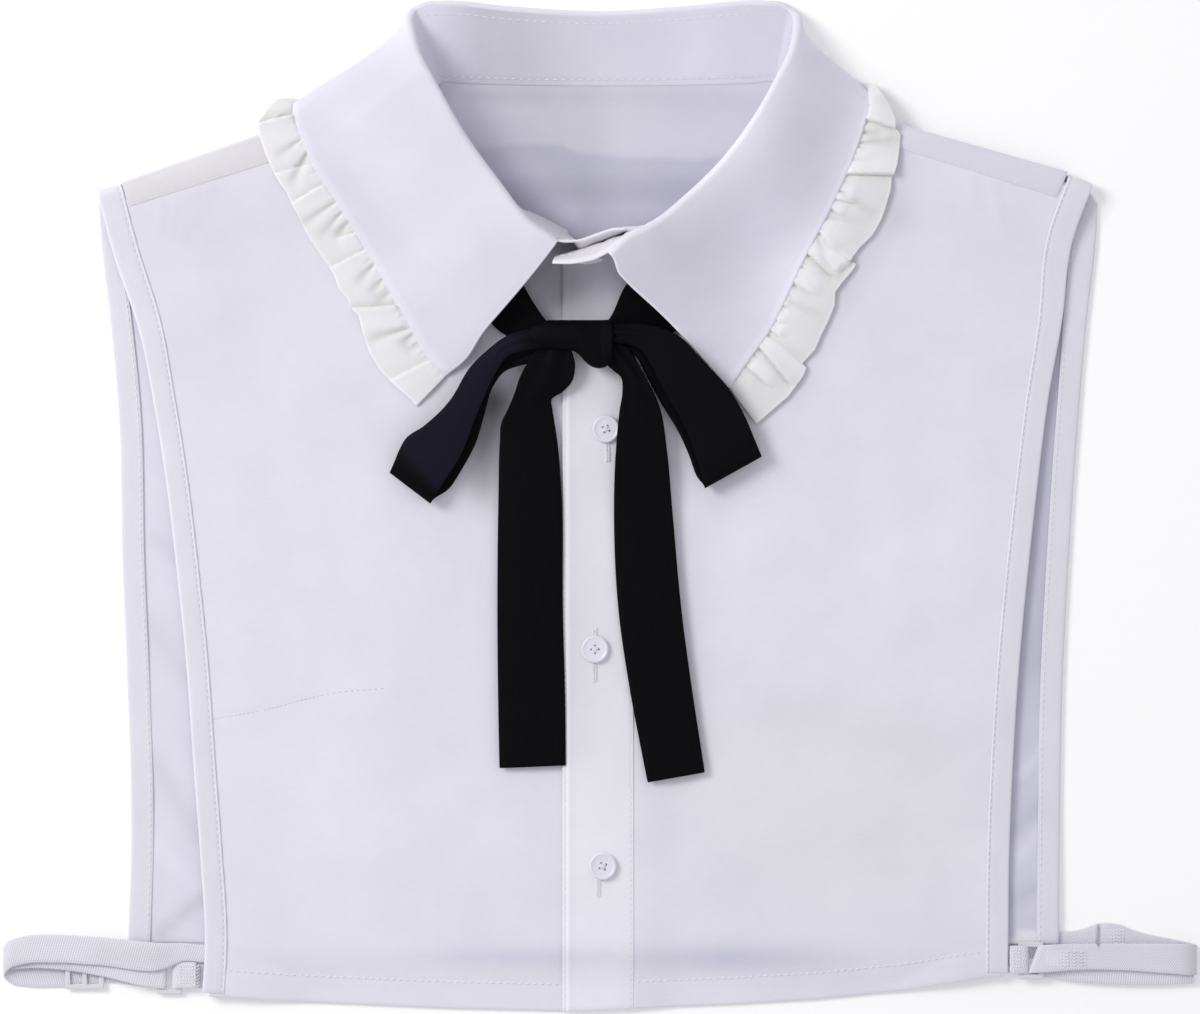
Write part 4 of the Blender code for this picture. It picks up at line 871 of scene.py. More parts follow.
def front_grid(armhole, side, forward, neck, centre_x, lift, shoulder=60):
    """A front filled between armhole, forward seam and neck, centre edge and hem. `side` is 1 for
    the left one and -1 for the right one, whose columns are turned round. Its top is tucked 2.2 mm
    under the forward seam."""
    outer = through(armhole, FRONT_ROWS)
    edge = inset(outer, side * (binding_width(outer, FRONT_FLARE) - TUCK))
    seam_line = np.linspace(forward[0], forward[1], shoulder) + [0.0, 2.2]
    edge[-1] = seam_line[0]
    top = np.concatenate([seam_line, neck])
    hem_x = np.linspace(edge[0, 0], centre_x, len(top))
    bottom = np.stack([hem_x, hem_y(hem_x)], axis=1)
    top[-1, 0] = centre_x
    edge[0] = bottom[0]
    centre = bottom[-1] + FRONT_ROWS[:, None] * (top[-1] - bottom[-1])
    plan = patch(bottom, top, edge, centre, FRONT_ROWS, np.linspace(0.0, 1.0, len(top)))
    grid = on_front(plan)
    grid[..., 2] += lift(plan[..., 0]) + hem_step(plan[..., 0], plan[..., 1])
    return grid[:, ::side]


SHADED = (  # x, y, half width, half depth, value: painted shade of collar and bow, painted shade where the fronts sink past the back's hem, soft painted light and shade
    (-19.0, 88.0, 15.0, 17.0, -0.42), (-4.0, 80.0, 14.0, 16.0, -0.16), (-34.0, 36.0, 7.0, 22.0, -0.1),
    (-43.0, 27.0, 9.0, 17.0, -0.68), (-40.0, 42.0, 8.0, 8.0, -0.5), (-45.0, 9.0, 8.0, 9.0, -0.26),
    (-9.0, 46.0, 9.0, 12.0, -0.06), (-32.0, -170.5, 34.0, 3.4, -0.09), (-10.0, -172.0, 16.0, 6.0, -0.04),
    (48.0, -171.0, 36.0, 5.5, -0.18), (-12.5, 98.5, 5.0, 4.5, 0.3), (76.0, -76.0, 24.0, 9.0, -0.04),
    (112.0, -88.0, 34.0, 9.0, -0.025), (114.0, -20.0, 48.0, 52.0, 0.04),
    (-100.0, -120.0, 60.0, 50.0, 0.025), (-150.0, 90.0, 45.0, 50.0, -0.04),
)
HEM_TINTS = (  # x, y, half width, half depth, warmth: grey below the right dart, blue of the painted shade past the back's hem
    (88.0, -112.0, 62.0, 42.0, 0.45), (-32.0, -170.5, 34.0, 4.0, -0.7), (48.0, -171.0, 36.0, 5.5, -0.8),
)
FRILL_SHADE = (  # x, y, x, y, half width, painted shade: beside the frill and the bow, on the side away from the lamp
    (116.0, 148.0, 112.0, 112.0, 6.5, -0.07), (112.0, 112.0, 94.0, 84.0, 6.5, -0.07),
    (92.0, 80.0, 74.0, 42.0, 6.5, -0.06), (44.0, 2.0, 66.0, 14.0, 6.0, -0.05),
    (34.0, -10.0, 40.0, -96.0, 6.0, -0.04), (-10.0, 10.0, -8.0, -92.0, 5.0, -0.05),
)
PUCKER_PAINTED_SHADE = 0.12  # painted shade for each millimetre of pucker


def patches_at(x, y, patches):
    """Sum of soft round patches: value times exp(-(x part squared + y part squared))."""
    return sum(value * np.exp(-(((x - cx) / wide) ** 2) - ((y - cy) / deep) ** 2)
               for cx, cy, wide, deep, value in patches)


def shade_at(x, y):
    """Painted light and shade: soft round patches, soft lines of painted shade, and the puckers' painted
    shading.
    """
    return patches_at(x, y, SHADED) + folds_at(x, y, FRILL_SHADE) - PUCKER_PAINTED_SHADE * folds_at(x, y, PUCKERS)


def beside_placket(x):
    """The front beside the placket is lifted by the ply beneath it."""
    return 1.2 * (1 - smooth((x - PLACKET_LEFT - PLACKET_WIDTH) / 20.0))


def front_cloth(name, grid):
    """The sheet of one front, with its painted light and shade and its warmth; its weave is square to the
    garment.
    """
    x, y = grid[..., 0], grid[..., 1]
    return sheet_of_cloth(name, grid, PANEL_WALL, white_cotton, weave=grid[..., :2],
                          tone=shade_at(x, y), warm=patches_at(x, y, HEM_TINTS))


LEFT_NECK_END = [(-12.0, 103.2), (-9.4, 100.4), (LEFT_CENTRE, 102.0)]  # of the left front, under the placket
under_neck = np.concatenate([inset(neck_curve(0, 6, 48)[::-1], 0.2), LEFT_NECK_END])
left_grid = front_grid(FRONT_ARMHOLE_LEFT, 1, FORWARD_LEFT, under_neck, LEFT_CENTRE, np.zeros_like)
front_left = front_cloth("front_left_cloth", left_grid)
over_neck = inset(neck_curve(20, 27, 48), -0.2)
right_grid = front_grid(FRONT_ARMHOLE_RIGHT, -1, FORWARD_RIGHT, over_neck, RIGHT_CENTRE, beside_placket)
front_right = front_cloth("front_right_cloth", right_grid)

# %% [markdown]
# ## Placket
# The placket is a straight strip folded in on both sides, so its edges are soft and thick, and
# a row of stitches draws it in beside each edge.

# %% Placket
PLACKET_TOP = (95.0, 104.0)
PLACKET_SECTION = (  # share across, height, painted light: lighter folded edges, darker along the stitches
    (-0.035, 0.0, 0.0), (-0.022, 0.02, 0.02), (-0.01, -0.06, -0.1), (0.005, 0.1, 0.0), (0.028, 0.3, 0.1),
    (0.05, 0.28, 0.06), (0.09, 0.12, -0.02), (0.16, 0.16, 0.0), (0.3, 0.2, 0.0), (0.5, 0.2, 0.0),
    (0.7, 0.2, 0.0), (0.84, 0.18, 0.0), (0.93, 0.12, 0.01), (0.96, 0.04, -0.01), (0.975, -0.05, -0.04),
    (0.99, 0.04, 0.05), (1.0, 0.0, 0.04),
)
PLACKET_STITCHES = (("left", 2, -18.0), ("right", 14, -104.0))  # row, and the y up to which they stand out
PLACKET_STITCHES_END = 62.0  # y


def placket_rails():
    """The two long edges of the placket, hem to neck, on top of the fronts."""
    share = np.linspace(0.0, 1.0, 190)
    rails = []
    for x, top in zip((PLACKET_LEFT, PLACKET_LEFT + PLACKET_WIDTH), PLACKET_TOP):
        y = hem_y(x) + share * (top - hem_y(x))
        rails.append(on_front(np.stack([np.full_like(y, x), y], axis=1), PLACKET_RISE - 0.3))
    return rails


placket_section, section_tone = np.split(np.array(PLACKET_SECTION), [2], axis=1)
placket_grid = strip_on_rails(*placket_rails(), placket_section)
placket_x, placket_y = placket_grid[..., 0], placket_grid[..., 1]
under_bow = smooth((placket_y - 56.0) / 8.0)
placket_grid[..., 2] -= 0.85 * under_bow * np.maximum(placket_section[:, 1:] - 0.1, 0.0)
# Painted light: the edges' painted light fades under the bow, where the painted shade of collar and bow
# lies, and the placket is painted lighter towards the hem. Its warmth is its own warmer white, bluer under
# the bow with the painted shade.
placket_tone = section_tone * (1 - 0.8 * under_bow) + shade_at(placket_x, placket_y)
placket_tone = placket_tone + 0.08 * smooth((-60.0 - placket_y) / 60.0)
placket_warm = 0.4 * smooth((placket_y + 178.0) / 40.0) - 0.5 * smooth((placket_y - 55.0) / 20.0)
placket = sheet_of_cloth("placket_cloth", placket_grid, 0.8, white_cotton, weave=placket_grid[..., :2],
                         tone=placket_tone, warm=placket_warm)

# %% [markdown]
# ## Armhole bindings
# A binding is a strip folded round the raw edge. Its cross section is a long flat U: over the
# top, round the outer edge and back underneath, drawn in where the stitches hold it.

# %% Armhole bindings
BINDING_SECTION = (  # share across from the outer edge, height above the panel's middle, painted light: highlights on the folds, shade at the stitches
    (1.0, 0.5, 0.06), (0.975, 0.72, 0.1), (0.935, 0.68, 0.06), (0.895, 0.42, -0.1), (0.885, 0.38, -0.16),
    (0.875, 0.42, -0.1), (0.82, 0.56, 0.0), (0.7, 0.6, 0.0), (0.5, 0.62, 0.0), (0.3, 0.62, 0.0),
    (0.15, 0.6, 0.01), (0.08, 0.56, 0.04), (0.04, 0.46, 0.09), (0.01, 0.24, 0.07), (0.0, 0.0, 0.0),
    (0.015, -0.24, 0.0), (0.06, -0.42, 0.0), (0.2, -0.5, 0.0), (0.6, -0.45, 0.0), (0.87, -0.42, 0.0),
    (1.0, -0.44, 0.0),
)
BINDING_STITCHES = 4  # the row of the section in which the stitches lie
BINDING_LOW = 0.95  # height of the lower ply, mm
BACK_BINDING_SHOWN = 146  # stations of the lower ply, counted from its hem end


def binding_rails(front, back, side, back_flare, shoulder):
    """Outer and inner edge of a binding: up the front, over the shoulder fold and down the back."""
    outward = outward_of(shoulder)
    outer = through(front, np.linspace(0.0, 1.0, 160))
    inner = inset(outer, side * binding_width(outer, FRONT_FLARE))
    low_outer = through(back, np.linspace(0.0, 1.0, 150))[::-1]
    low_inner = inset(low_outer, -side * binding_width(low_outer, back_flare))
    fold = np.stack([outer[-1], inner[-1]])
    low = np.full(2, BINDING_LOW)
    high = front_height(fold[:, 0], fold[:, 1])
    roll = shoulder_roll(fold + 1.2 * outward, outward, low, high, ROLL_STEPS)
    rails = []
    for k, (top_line, low_line) in enumerate(((outer, low_outer), (inner, low_inner))):
        over = on_front(top_line[:-2])
        under = np.column_stack([low_line[2:], BINDING_LOW + elastic_lift(*low_line[2:].T)])
        rails.append(np.concatenate([over, roll[:, k], under]))
    return rails


def puckered(grid, pitch=9.0, height=0.08):
    """Slight slack between stitches: a sine of the length with a slowly drifting phase."""
    place = lengths_to(grid[len(grid) // 3])
    wave = np.sin(2 * np.pi * place / pitch + 1.7 * np.sin(place / 23.0)) * np.sin(place / 41.0 + 0.7)
    grid[:9, :, 2] += height * wave[None] * np.linspace(1.0, 0.3, 9)[:, None]
    return grid


left_rails = binding_rails(FRONT_ARMHOLE_LEFT, BACK_ARMHOLE_LEFT, 1, BACK_FLARE_LEFT, SHOULDER_LEFT)
right_rails = binding_rails(FRONT_ARMHOLE_RIGHT, BACK_ARMHOLE_RIGHT, -1, BACK_FLARE_RIGHT, SHOULDER_RIGHT)
binding_section, binding_tone = np.split(np.array(BINDING_SECTION), [2], axis=1)
# The bindings' painted light, a little darker all over.
binding_tone = binding_tone - 0.03
left_binding_grid = puckered(strip_on_rails(*left_rails, binding_section))
right_binding_grid = puckered(strip_on_rails(*right_rails, binding_section))
binding_left = sheet_of_cloth("armhole_binding_left_cloth", left_binding_grid, 0.3, white_cotton,
                              tone=binding_tone)
binding_right = sheet_of_cloth("armhole_binding_right_cloth", right_binding_grid, 0.3, white_cotton,
                               tone=binding_tone)

# %% [markdown]
# ## Collar stand and fall
# The stand is a curved band: upright at the front, leaning in at the sides and lying flat at the
# back. The fall starts at the stand's top edge, turns round a small roll and spreads out to its
# points; at the back it is folded away under the back panel.

# %% Sections of the collar
FOLD_RADIUS = 1.5
STAND_UNDER_END = (  # fold x, y, seam x, y, rise
    (9.8, 105.1, 9.8, 104.9, 24.0),
    (5.6, 105.0, 5.2, 102.8, 24.2),
    (-1.0, 103.0, -1.7, 100.2, 24.2),
    (-7.4, 100.8, -8.1, 98.3, 24.6),
    (-10.4, 100.4, -10.0, 101.4, 24.8),
    (-13.4, 100.3, -12.3, 104.0, 25.0),
)
STAND_OVER_END = (
    (-2.4, 93.6, -1.6, 99.4, 25.0),
    (-9.8, 92.3, -8.2, 97.1, 25.0),
    (-17.6, 92.3, -16.4, 95.0, 24.2),
)


def collar_sections(step):
    """Seam, fold and edge of every section, with the directions up the stand and outwards."""
    by = [0, 1, 2, 3, 5, 6]
    total = lengths_to(COLLAR, by)[-1]
    near = np.array([0.0, 0.5, 1.1]) / total
    pitch = step / total
    shares = np.concatenate([near, np.arange(pitch, 1 - 0.5 * pitch, pitch), 1 - near[::-1]])
    table = through(COLLAR, shares, by)
    raw = np.clip(table[:, 7], 0.0, 1.0)
    under = 0.5 * smooth(raw) + 0.5 * raw
    over_placket = (PLACKET_RISE + 0.1) * smooth((shares - 0.92) / 0.04)
    seam_z = (1 - under) * (front_height(*table[:, 2:4].T) + 0.7 + over_placket)
    seam_z = seam_z + under * (CLOTH / 2 + FLOOR_GAP)
    seam_line = np.column_stack([table[:, 2:4], seam_z])
    fold = np.column_stack([table[:, 0:2], seam_z + np.maximum(table[:, 4], 0.0)])
    edge_z = (1 - under) * (front_height(*table[:, 5:7].T) + 1.7) + under * CLOTH / 2
    edge = np.column_stack([table[:, 5:7], edge_z])
    run = unit(np.gradient(fold, axis=0))
    outward = unit(np.cross(unit(fold - seam_line), run))
    return seam_line, fold, edge, outward, unit(np.cross(run, outward)), under


seam_line, fold_line, edge_line, outward, up_stand, tucked = collar_sections(2.0)
print("neck seam", round(float(lengths_to(seam_line)[-1]) / 10, 1), "cm")

# %% Stand
def raised(plan, height):
    """Points of a plan at a height above the fronts."""
    return np.column_stack([plan, front_height(*plan.T) + height])


def stand_end(rows, above):
    """Sections of the stand past the fall, laid on the fronts."""
    table = finely(rows, 2.0)
    low = raised(table[:, 2:4], above)
    return low, np.column_stack([table[:, 0:2], low[:, 2] + table[:, 4]])


COLLAR_WALL = 1.0
STAND_SHARES = np.array([
    0.0, 0.025, 0.055, 0.075, 0.095, 0.14, 0.22, 0.35, 0.5, 0.64, 0.75, 0.83, 0.87, 0.9, 0.93, 0.955,
    0.98, 1.0,
])
STAND_PAINTED_SHADE = (  # x along the back, painted shade: the side that faces away from the lamp is painted darker
    (-65.0, -0.08), (-57.0, -0.16), (-45.0, -0.29), (-30.0, -0.28), (-19.0, -0.22), (0.0, -0.13),
    (19.0, -0.11), (38.0, -0.06), (57.0, -0.12), (68.0, -0.14),
)
LAP_SHADE = ((-13.0, 104.0, 6.0, 5.0, -0.08),)  # x, y, half width, half depth, painted shade where the ends lap


def stand_grid():
    """Up from seam to fold. Towards its front ends the stand stays upright low down and opens
    outwards near the top: the plan share is the height share to a power that grows from 1 to 11."""
    under_low, under_high = stand_end(STAND_UNDER_END, 0.7)
    over_low, over_high = stand_end(STAND_OVER_END, 0.8 + PLACKET_RISE)
    low = np.concatenate([under_low, seam_line, over_low])
    high = np.concatenate([under_high, fold_line, over_high])
    count = np.arange(len(low))
    from_over = smooth((count - (len(low) - len(over_low) - 11)) / 8.0)
    power = 1.0 + 10.0 * from_over + 10.0 * smooth((len(under_low) - 2 - count) / 4.0)
    share = STAND_SHARES[:, None]
    plan = (share ** power[None])[..., None]
    grid = (1 - plan) * low + plan * high
    grid[..., 2] = (1 - share) * low[:, 2] + share * high[:, 2]
    return grid


stand = stand_grid()
# Painted light of the stand: painted shade along the back, a painted highlight on the top rim of its front
# ends (rim_light), a little painted shade on the rest of its front, a painted dark line along the seam's
# stitches and painted shade where the ends lap. Its front is tinted warmer and its back bluer.
behind = smooth((stand[..., 1] - 112.0) / 20.0)
rim_light = 0.22 * smooth((STAND_SHARES - 0.965) / 0.03)[:, None]
stand_tone = behind * np.interp(stand[..., 0], *np.transpose(STAND_PAINTED_SHADE)) + (rim_light - 0.1) * (1 - behind)
stand_tone = stand_tone - 0.07 * np.exp(-(((STAND_SHARES - 0.075) / 0.02) ** 2))[:, None]
stand_tone = stand_tone + patches_at(stand[..., 0], stand[..., 1], LAP_SHADE)
collar_stand = sheet_of_cloth("collar_stand_cloth", stand, COLLAR_WALL, white_cotton, tone=stand_tone,
                              warm=0.4 - 0.75 * behind)

# %% Fall
FOLD_CLEAR = 0.45  # from the stand's top edge up to the middle of the roll, mm
LEFT_BULGE, RIGHT_BULGE = [1.6, -1.3, 0.0], [-1.9, -1.8, 0.0]  # how the leaves' front edges are bent, mm


def fall_grid(spread_steps=30):
    """A roll of 107 to 180 degrees round the fold, then a cubic curve out to the edge, kept above
    the front or, where the fall is tucked away, below the back."""
    lean = 42.0 * np.minimum(outward[:, 2] - 0.45, 0.0) * (1 - tucked)
    turn = np.radians(135.0 + lean + 45.0 * tucked)[None, :, None]
    angle = turn * np.linspace(0, 1, 11)[:, None, None]
    centre = fold_line + FOLD_CLEAR * up_stand + FOLD_RADIUS * outward
    roll = centre + FOLD_RADIUS * (np.sin(angle) * up_stand - np.cos(angle) * outward)
    heading = np.cos(turn[0]) * up_stand + np.sin(turn[0]) * outward
    begin = roll[-1]
    reach = np.linalg.norm(edge_line - begin, axis=1)[:, None]
    level = unit((edge_line - begin) * [1.0, 1.0, 0.25])
    first, second = begin + heading * reach * 0.3, edge_line - level * reach * 0.35
    shares = np.concatenate([np.linspace(0, 0.9, spread_steps)[1:], [0.93, 0.955, 0.975, 0.99, 1.0]])
    t = shares[:, None, None]
    spread = (1 - t) ** 3 * begin + 3 * (1 - t) ** 2 * t * first
    spread = spread + 3 * (1 - t) * t**2 * second + t**3 * edge_line
    to_end = lengths_to(fold_line)[-1] - lengths_to(fold_line)
    first_end = np.exp(-((lengths_to(edge_line) / 9.0) ** 2))[None, :, None]
    last_end = np.exp(-((to_end / 7.0) ** 2))[None, :, None]
    near_edge = np.exp(-(((t - 0.87) / 0.12) ** 2))
    near_fold = smooth(t / 0.12) * np.exp(-((np.maximum(t - 0.14, 0.0) / 0.3) ** 2))
    spread = spread + first_end * near_edge * LEFT_BULGE + last_end * near_fold * RIGHT_BULGE
    x, y, z = spread[..., 0], spread[..., 1], spread[..., 2]
    above = np.maximum(z, front_height(x, y) + 1.4)
    below = np.maximum(np.minimum(z, back_height(x, y) - 1.3), 0.6)
    spread[..., 2] = np.where(tucked > 0.9, below, np.where(tucked < 0.1, above, z))
    grid = np.concatenate([roll, spread])
    grid[..., 2] = np.maximum(grid[..., 2], 0.55)
    return grid


LEAF_SHADES = (  # x, y, x, y, half width, painted light and shade on the collar leaves
    (-106.0, 136.0, -78.0, 100.0, 7.0, -0.05), (-88.0, 165.0, -60.0, 142.0, 18.0, -0.1),
    (-62.0, 72.0, -40.0, 92.0, 12.0, -0.05), (54.0, 132.0, 70.0, 92.0, 19.0, 0.16),
    (84.0, 156.0, 88.0, 130.0, 12.0, 0.02),
)


def edge_line_tone(shape, ends=0.14, edge=0.06):
    """Painted highlight where the folded edges of a doubled piece catch the light, on its first and last
    columns and last rows, with a faint painted dark line just inside the ends.
    """
    tone = np.zeros(shape)
    tone[:, [0, 1, -2, -1]] = ends
    tone[-3:] = edge
    tone[:, [2, -3]] = -0.02
    return tone


fall = fall_grid()
fall_tone = folds_at(fall[..., 0], fall[..., 1], LEAF_SHADES) + edge_line_tone(fall.shape[:2])
# The left leaf is given a little painted shade.
fall_tone = fall_tone - 0.025 * (fall[..., 0] < 0)
collar_fall = sheet_of_cloth("collar_fall_cloth", fall, COLLAR_WALL, white_cotton, tone=fall_tone, warm=-0.2)

# %% [markdown]
# ## Frill
# The frill is a strip gathered into the fall's edge. The thread draws it into narrow creases at
# the seam; they widen towards the free edge and fade. Where there is more cloth than room, one
# part laps over the next with a sharp step. Each crease is a line with its own depth, so that no
# two are alike, and the cloth's height is the sum of all of them.

# %% Free edge and creases of the frill
TRIM = 0.45
FRILL_WIDTH = 15.5
FRILL_LEFT = (  # free edge, collar point to shoulder
    (-69.7, 38.9), (-72.2, 41.8), (-77.2, 46.0), (-83.1, 51.9), (-87.3, 58.6), (-89.8, 66.2),
    (-91.5, 72.9), (-94.8, 76.7), (-95.7, 79.6), (-99.0, 83.0), (-100.7, 88.0), (-103.2, 92.2),
    (-107.8, 98.9), (-111.6, 104.8), (-113.7, 109.8), (-116.7, 114.9), (-118.8, 119.9), (-121.3, 123.2),
    (-124.2, 128.3), (-126.7, 134.2), (-129.2, 141.7), (-129.7, 146.3),
)
FRILL_RIGHT = (  # free edge, shoulder to collar point
    (109.3, 153.5), (111.9, 147.6), (111.9, 144.2), (113.9, 141.7), (113.5, 136.7), (112.7, 130.8),
    (111.4, 126.6), (110.6, 125.8), (110.2, 120.7), (108.5, 114.9), (106.8, 109.8), (103.5, 103.9),
    (98.4, 98.9), (95.9, 95.5), (95.1, 93.9), (97.2, 92.6), (95.9, 90.5), (91.7, 85.5), (89.2, 82.1),
    (89.0, 77.1), (86.7, 71.2), (83.7, 65.3), (81.6, 60.3), (77.0, 55.3), (76.6, 54.4), (78.3, 53.6),
    (77.0, 50.2), (71.6, 42.7), (65.7, 37.6), (59.4, 32.2),
)
WRAP_LEFT = (  # the free edge goes on round the shoulder, and shows behind the leaf
    (-129.7, 146.3), (-127.6, 149.4), (-125.6, 151.4), (-124.8, 154.4), (-121.0, 155.9), (-114.0, 155.4),
    (-107.4, 156.8),
)
WRAP_RIGHT = (
    (93.0, 160.5), (97.0, 162.0), (100.3, 161.3), (103.4, 162.0), (106.4, 158.0), (108.4, 155.0),
    (109.3, 153.5),
)
WRAP_LENGTH = 11.0
CREASES = (  # x, y at the seam, x, y outwards, height; above 0: a lap whose left side lies on top
    (-115.1, 149.5, -129.6, 146.3, 1.6), (-113.7, 139.6, -121.3, 134.2, -0.8),
    (-110.8, 135.4, -116.2, 124.5, -1.3), (-108.0, 131.0, -123.0, 127.0, 0.7),
    (-104.0, 123.5, -114.0, 117.5, 0.8), (-99.9, 116.5, -112.5, 107.7, -0.8),
    (-98.2, 112.3, -104.9, 103.9, -0.7), (-94.8, 109.4, -99.9, 103.5, -1.1),
    (-92.7, 104.8, -98.2, 103.1, 0.8), (-88.5, 98.5, -100.0, 92.5, 0.6), (-85.6, 93.0, -91.1, 86.3, -0.9),
    (-82.3, 87.2, -86.4, 82.1, -0.8), (-78.9, 83.0, -83.9, 78.8, -0.8), (-76.4, 77.1, -94.4, 75.8, 1.5),
    (-72.2, 68.5, -85.6, 64.5, -1.2), (-70.5, 66.2, -75.1, 62.0, -0.9), (-67.6, 62.0, -73.0, 60.3, -0.7),
    (-64.0, 56.5, -77.0, 50.0, 0.6), (100.5, 148.0, 111.9, 144.2, 1.3), (99.0, 142.5, 106.0, 141.5, -0.9),
    (98.0, 138.5, 113.1, 139.0, -0.9), (95.0, 132.0, 104.0, 131.5, -0.5),
    (92.5, 127.0, 111.4, 126.6, 1.3), (88.4, 117.8, 95.1, 116.1, 0.9), (87.1, 114.4, 90.9, 111.5, 0.8),
    (85.0, 110.5, 100.0, 108.0, -0.5), (82.5, 106.0, 87.5, 98.9, 0.8), (78.7, 97.2, 87.5, 88.8, 1.5),
    (91.0, 90.0, 95.4, 94.2, 0.9), (72.0, 87.2, 80.0, 81.7, 1.0), (67.8, 77.9, 70.7, 76.7, 0.8),
    (83.0, 102.0, 88.0, 91.0, -0.6), (90.0, 121.0, 104.0, 112.0, -0.8), (69.0, 80.0, 84.0, 73.0, -0.6),
    (66.1, 72.5, 69.1, 70.4, 0.7), (64.0, 68.3, 68.2, 65.3, 0.8), (60.7, 61.1, 71.1, 48.6, 1.5),
    (63.0, 66.5, 79.0, 56.0, -0.6), (56.9, 52.7, 63.2, 47.3, 0.9),
)


def creases_at(x, y):
    """With d the distance to the left of a line and p the place along it: a crease is a bell curve
    of d that widens with p; a lap is a soft step of d that dies away on both sides."""
    total = np.zeros(np.shape(x))
    for ax, ay, bx, by, height in CREASES:
        length = np.hypot(bx - ax, by - ay)
        run = np.array([bx - ax, by - ay]) / length
        p = ((x - ax) * run[0] + (y - ay) * run[1]) / length
        d = (y - ay) * run[0] - (x - ax) * run[1]
        fade = smooth((p + 0.2) / 0.25) * smooth((1.35 - p) / 0.4)
        along = np.clip(p, 0.0, 1.2)
        if height < 0:
            shape = np.exp(-((d / (0.45 + 1.7 * along)) ** 2)) * (1 - 0.45 * along)
        else:
            step = smooth((d + 0.3) / 0.6)
            on_top, beneath = np.exp(-np.maximum(d, 0.0) / 4.5), np.exp(np.minimum(d, 0.0) / 1.5)
            shape = step * on_top - 0.7 * (1 - step) * beneath
        total = total + 1.2 * height * shape * fade
    return total


# %% Frill
FRILL_SHARES = (
    -0.1, -0.03, 0.02, 0.06, 0.1, 0.15, 0.2, 0.26, 0.32, 0.38, 0.45, 0.52, 0.6, 0.68, 0.76, 0.83, 0.89,
    0.94, 0.975, 1.0,
)


def along_line(line, shares):
    """Points at shares of a broken line's length."""
    line = np.asarray(line, float)
    place = lengths_to(line)
    return np.stack([np.interp(shares, place / place[-1], line[:, k]) for k in range(2)], axis=1)


def frill_stations(place, left_end, right_start):
    """Close together where the frill shows, wider apart where it is folded away."""
    shown_left = np.arange(0.0, left_end, 0.5)
    hidden = np.arange(left_end, right_start, 1.6)
    return np.concatenate([shown_left, hidden, np.arange(right_start, place[-1], 0.5), place[-1:]])


def gathered(at, share):
    """Small creases of uneven spacing and depth where the thread holds the frill."""
    rng = np.random.default_rng(11)
    marks = np.cumsum(rng.uniform(1.6, 4.6, 200))
    deep = rng.uniform(0.25, 0.9, 200)
    reach = rng.uniform(0.15, 0.42, 200)
    near = np.clip(np.searchsorted(marks, at), 1, 199)
    near = np.where(marks[near] - at < at - marks[near - 1], near, near - 1)
    return -deep[near] * np.exp(-(((at - marks[near]) / 0.5) ** 2)) * smooth(1 - share / reach[near])


def frill_grid():
    """Row = seam + share times (free edge - seam); height = the front's, plus a low swell, plus the
    creases. Where the fall is tucked away the frill lies flat under the back. Each row also gets its
    painted light: painted shade and light along the creases, painted shade at the seam, a painted
    highlight on the free edge, a hair lighter on the left frill and darker on the right."""
    edge = fall[-1]
    place = lengths_to(edge)
    corner = np.flatnonzero(tucked > 0.12)
    left_end, right_start = place[corner[0]], place[corner[-1]]
    at = frill_stations(place, left_end, right_start)
    base = np.stack([np.interp(at, place, edge[:, k]) for k in range(3)], axis=1)
    way = unit(np.stack([np.interp(at, place, (edge - fall[-8])[:, k]) for k in range(3)], axis=1))
    under = np.interp(at, place, tucked)
    clear = (4.0 * under * (1 - under))[:, None] * np.stack(
        [0.1 * np.sign(base[:, 0]), np.full(len(at), 0.35), np.zeros(len(at))], axis=1)
    way = unit(way * [1.0, 1.0, 0.3] + clear)
    hidden = (base + way * FRILL_WIDTH)[:, :2]
    past_left, past_right = (at - left_end) / WRAP_LENGTH, (at - right_start) / WRAP_LENGTH
    shown = [
        along_line(FRILL_LEFT, at / left_end), along_line(WRAP_LEFT, past_left),
        along_line(WRAP_RIGHT, 1 + past_right),
        along_line(FRILL_RIGHT, (at - right_start) / (place[-1] - right_start)),
    ]
    part = (at > left_end).astype(int) + (at > place[-1] / 2) + (at > right_start)
    shown = np.choose(part[:, None], shown)
    folded_in = smooth(np.minimum(past_left - 1, -1 - past_right))[:, None]
    free = (1 - folded_in) * shown + folded_in * hidden
    turned = smooth((under - 0.15) / 0.8)
    rows, tones = [], []
    for share in FRILL_SHARES:
        row = base[:, :2] + share * (free - base[:, :2])
        x, y = row.T
        out = max(share, 0.0)
        swell = 1.05 + 0.75 * np.sin(np.pi * out**0.8) + 0.7 * out * (x > 0)
        crease = creases_at(x, y) * smooth((share + 0.06) / 0.1) * (1 - turned)
        crease = crease + gathered(at, share) * np.where(x < 0, 0.55, 1.0)
        folded = 1.3 - 0.5 * np.sin(2 * np.pi * at / 6.5) * smooth(share / 0.6)
        level = front_height(x, y)
        shown_z = np.maximum(level + swell + crease, level + 0.5)
        lying = (1 - turned) * shown_z + turned * np.maximum(folded, 0.4)
        held = 1 - smooth((share + 0.02) / 0.12)
        z = held * (base[:, 2] - 0.15) + (1 - held) * lying
        rows.append(np.column_stack([row, np.maximum(z, 0.4)]))
        shade = np.clip(crease, -1.5, 0.4) * 0.16 + np.where(x < 0, 0.01, -0.02)
        tones.append(shade + (0.08 if share > 0.97 else 0.0) - 0.05 * held)
    return np.array(rows), np.array(tones)


frill, frill_tone = frill_grid()
# The frill is painted warmer where it is painted darkest: the warm light its own cloth throws into the
# creases, painted.
collar_frill = sheet_of_cloth("collar_frill_cloth", frill, TRIM, frill_cotton, tone=frill_tone,
                              warm=np.clip(-7.0 * frill_tone, 0.0, 1.6))

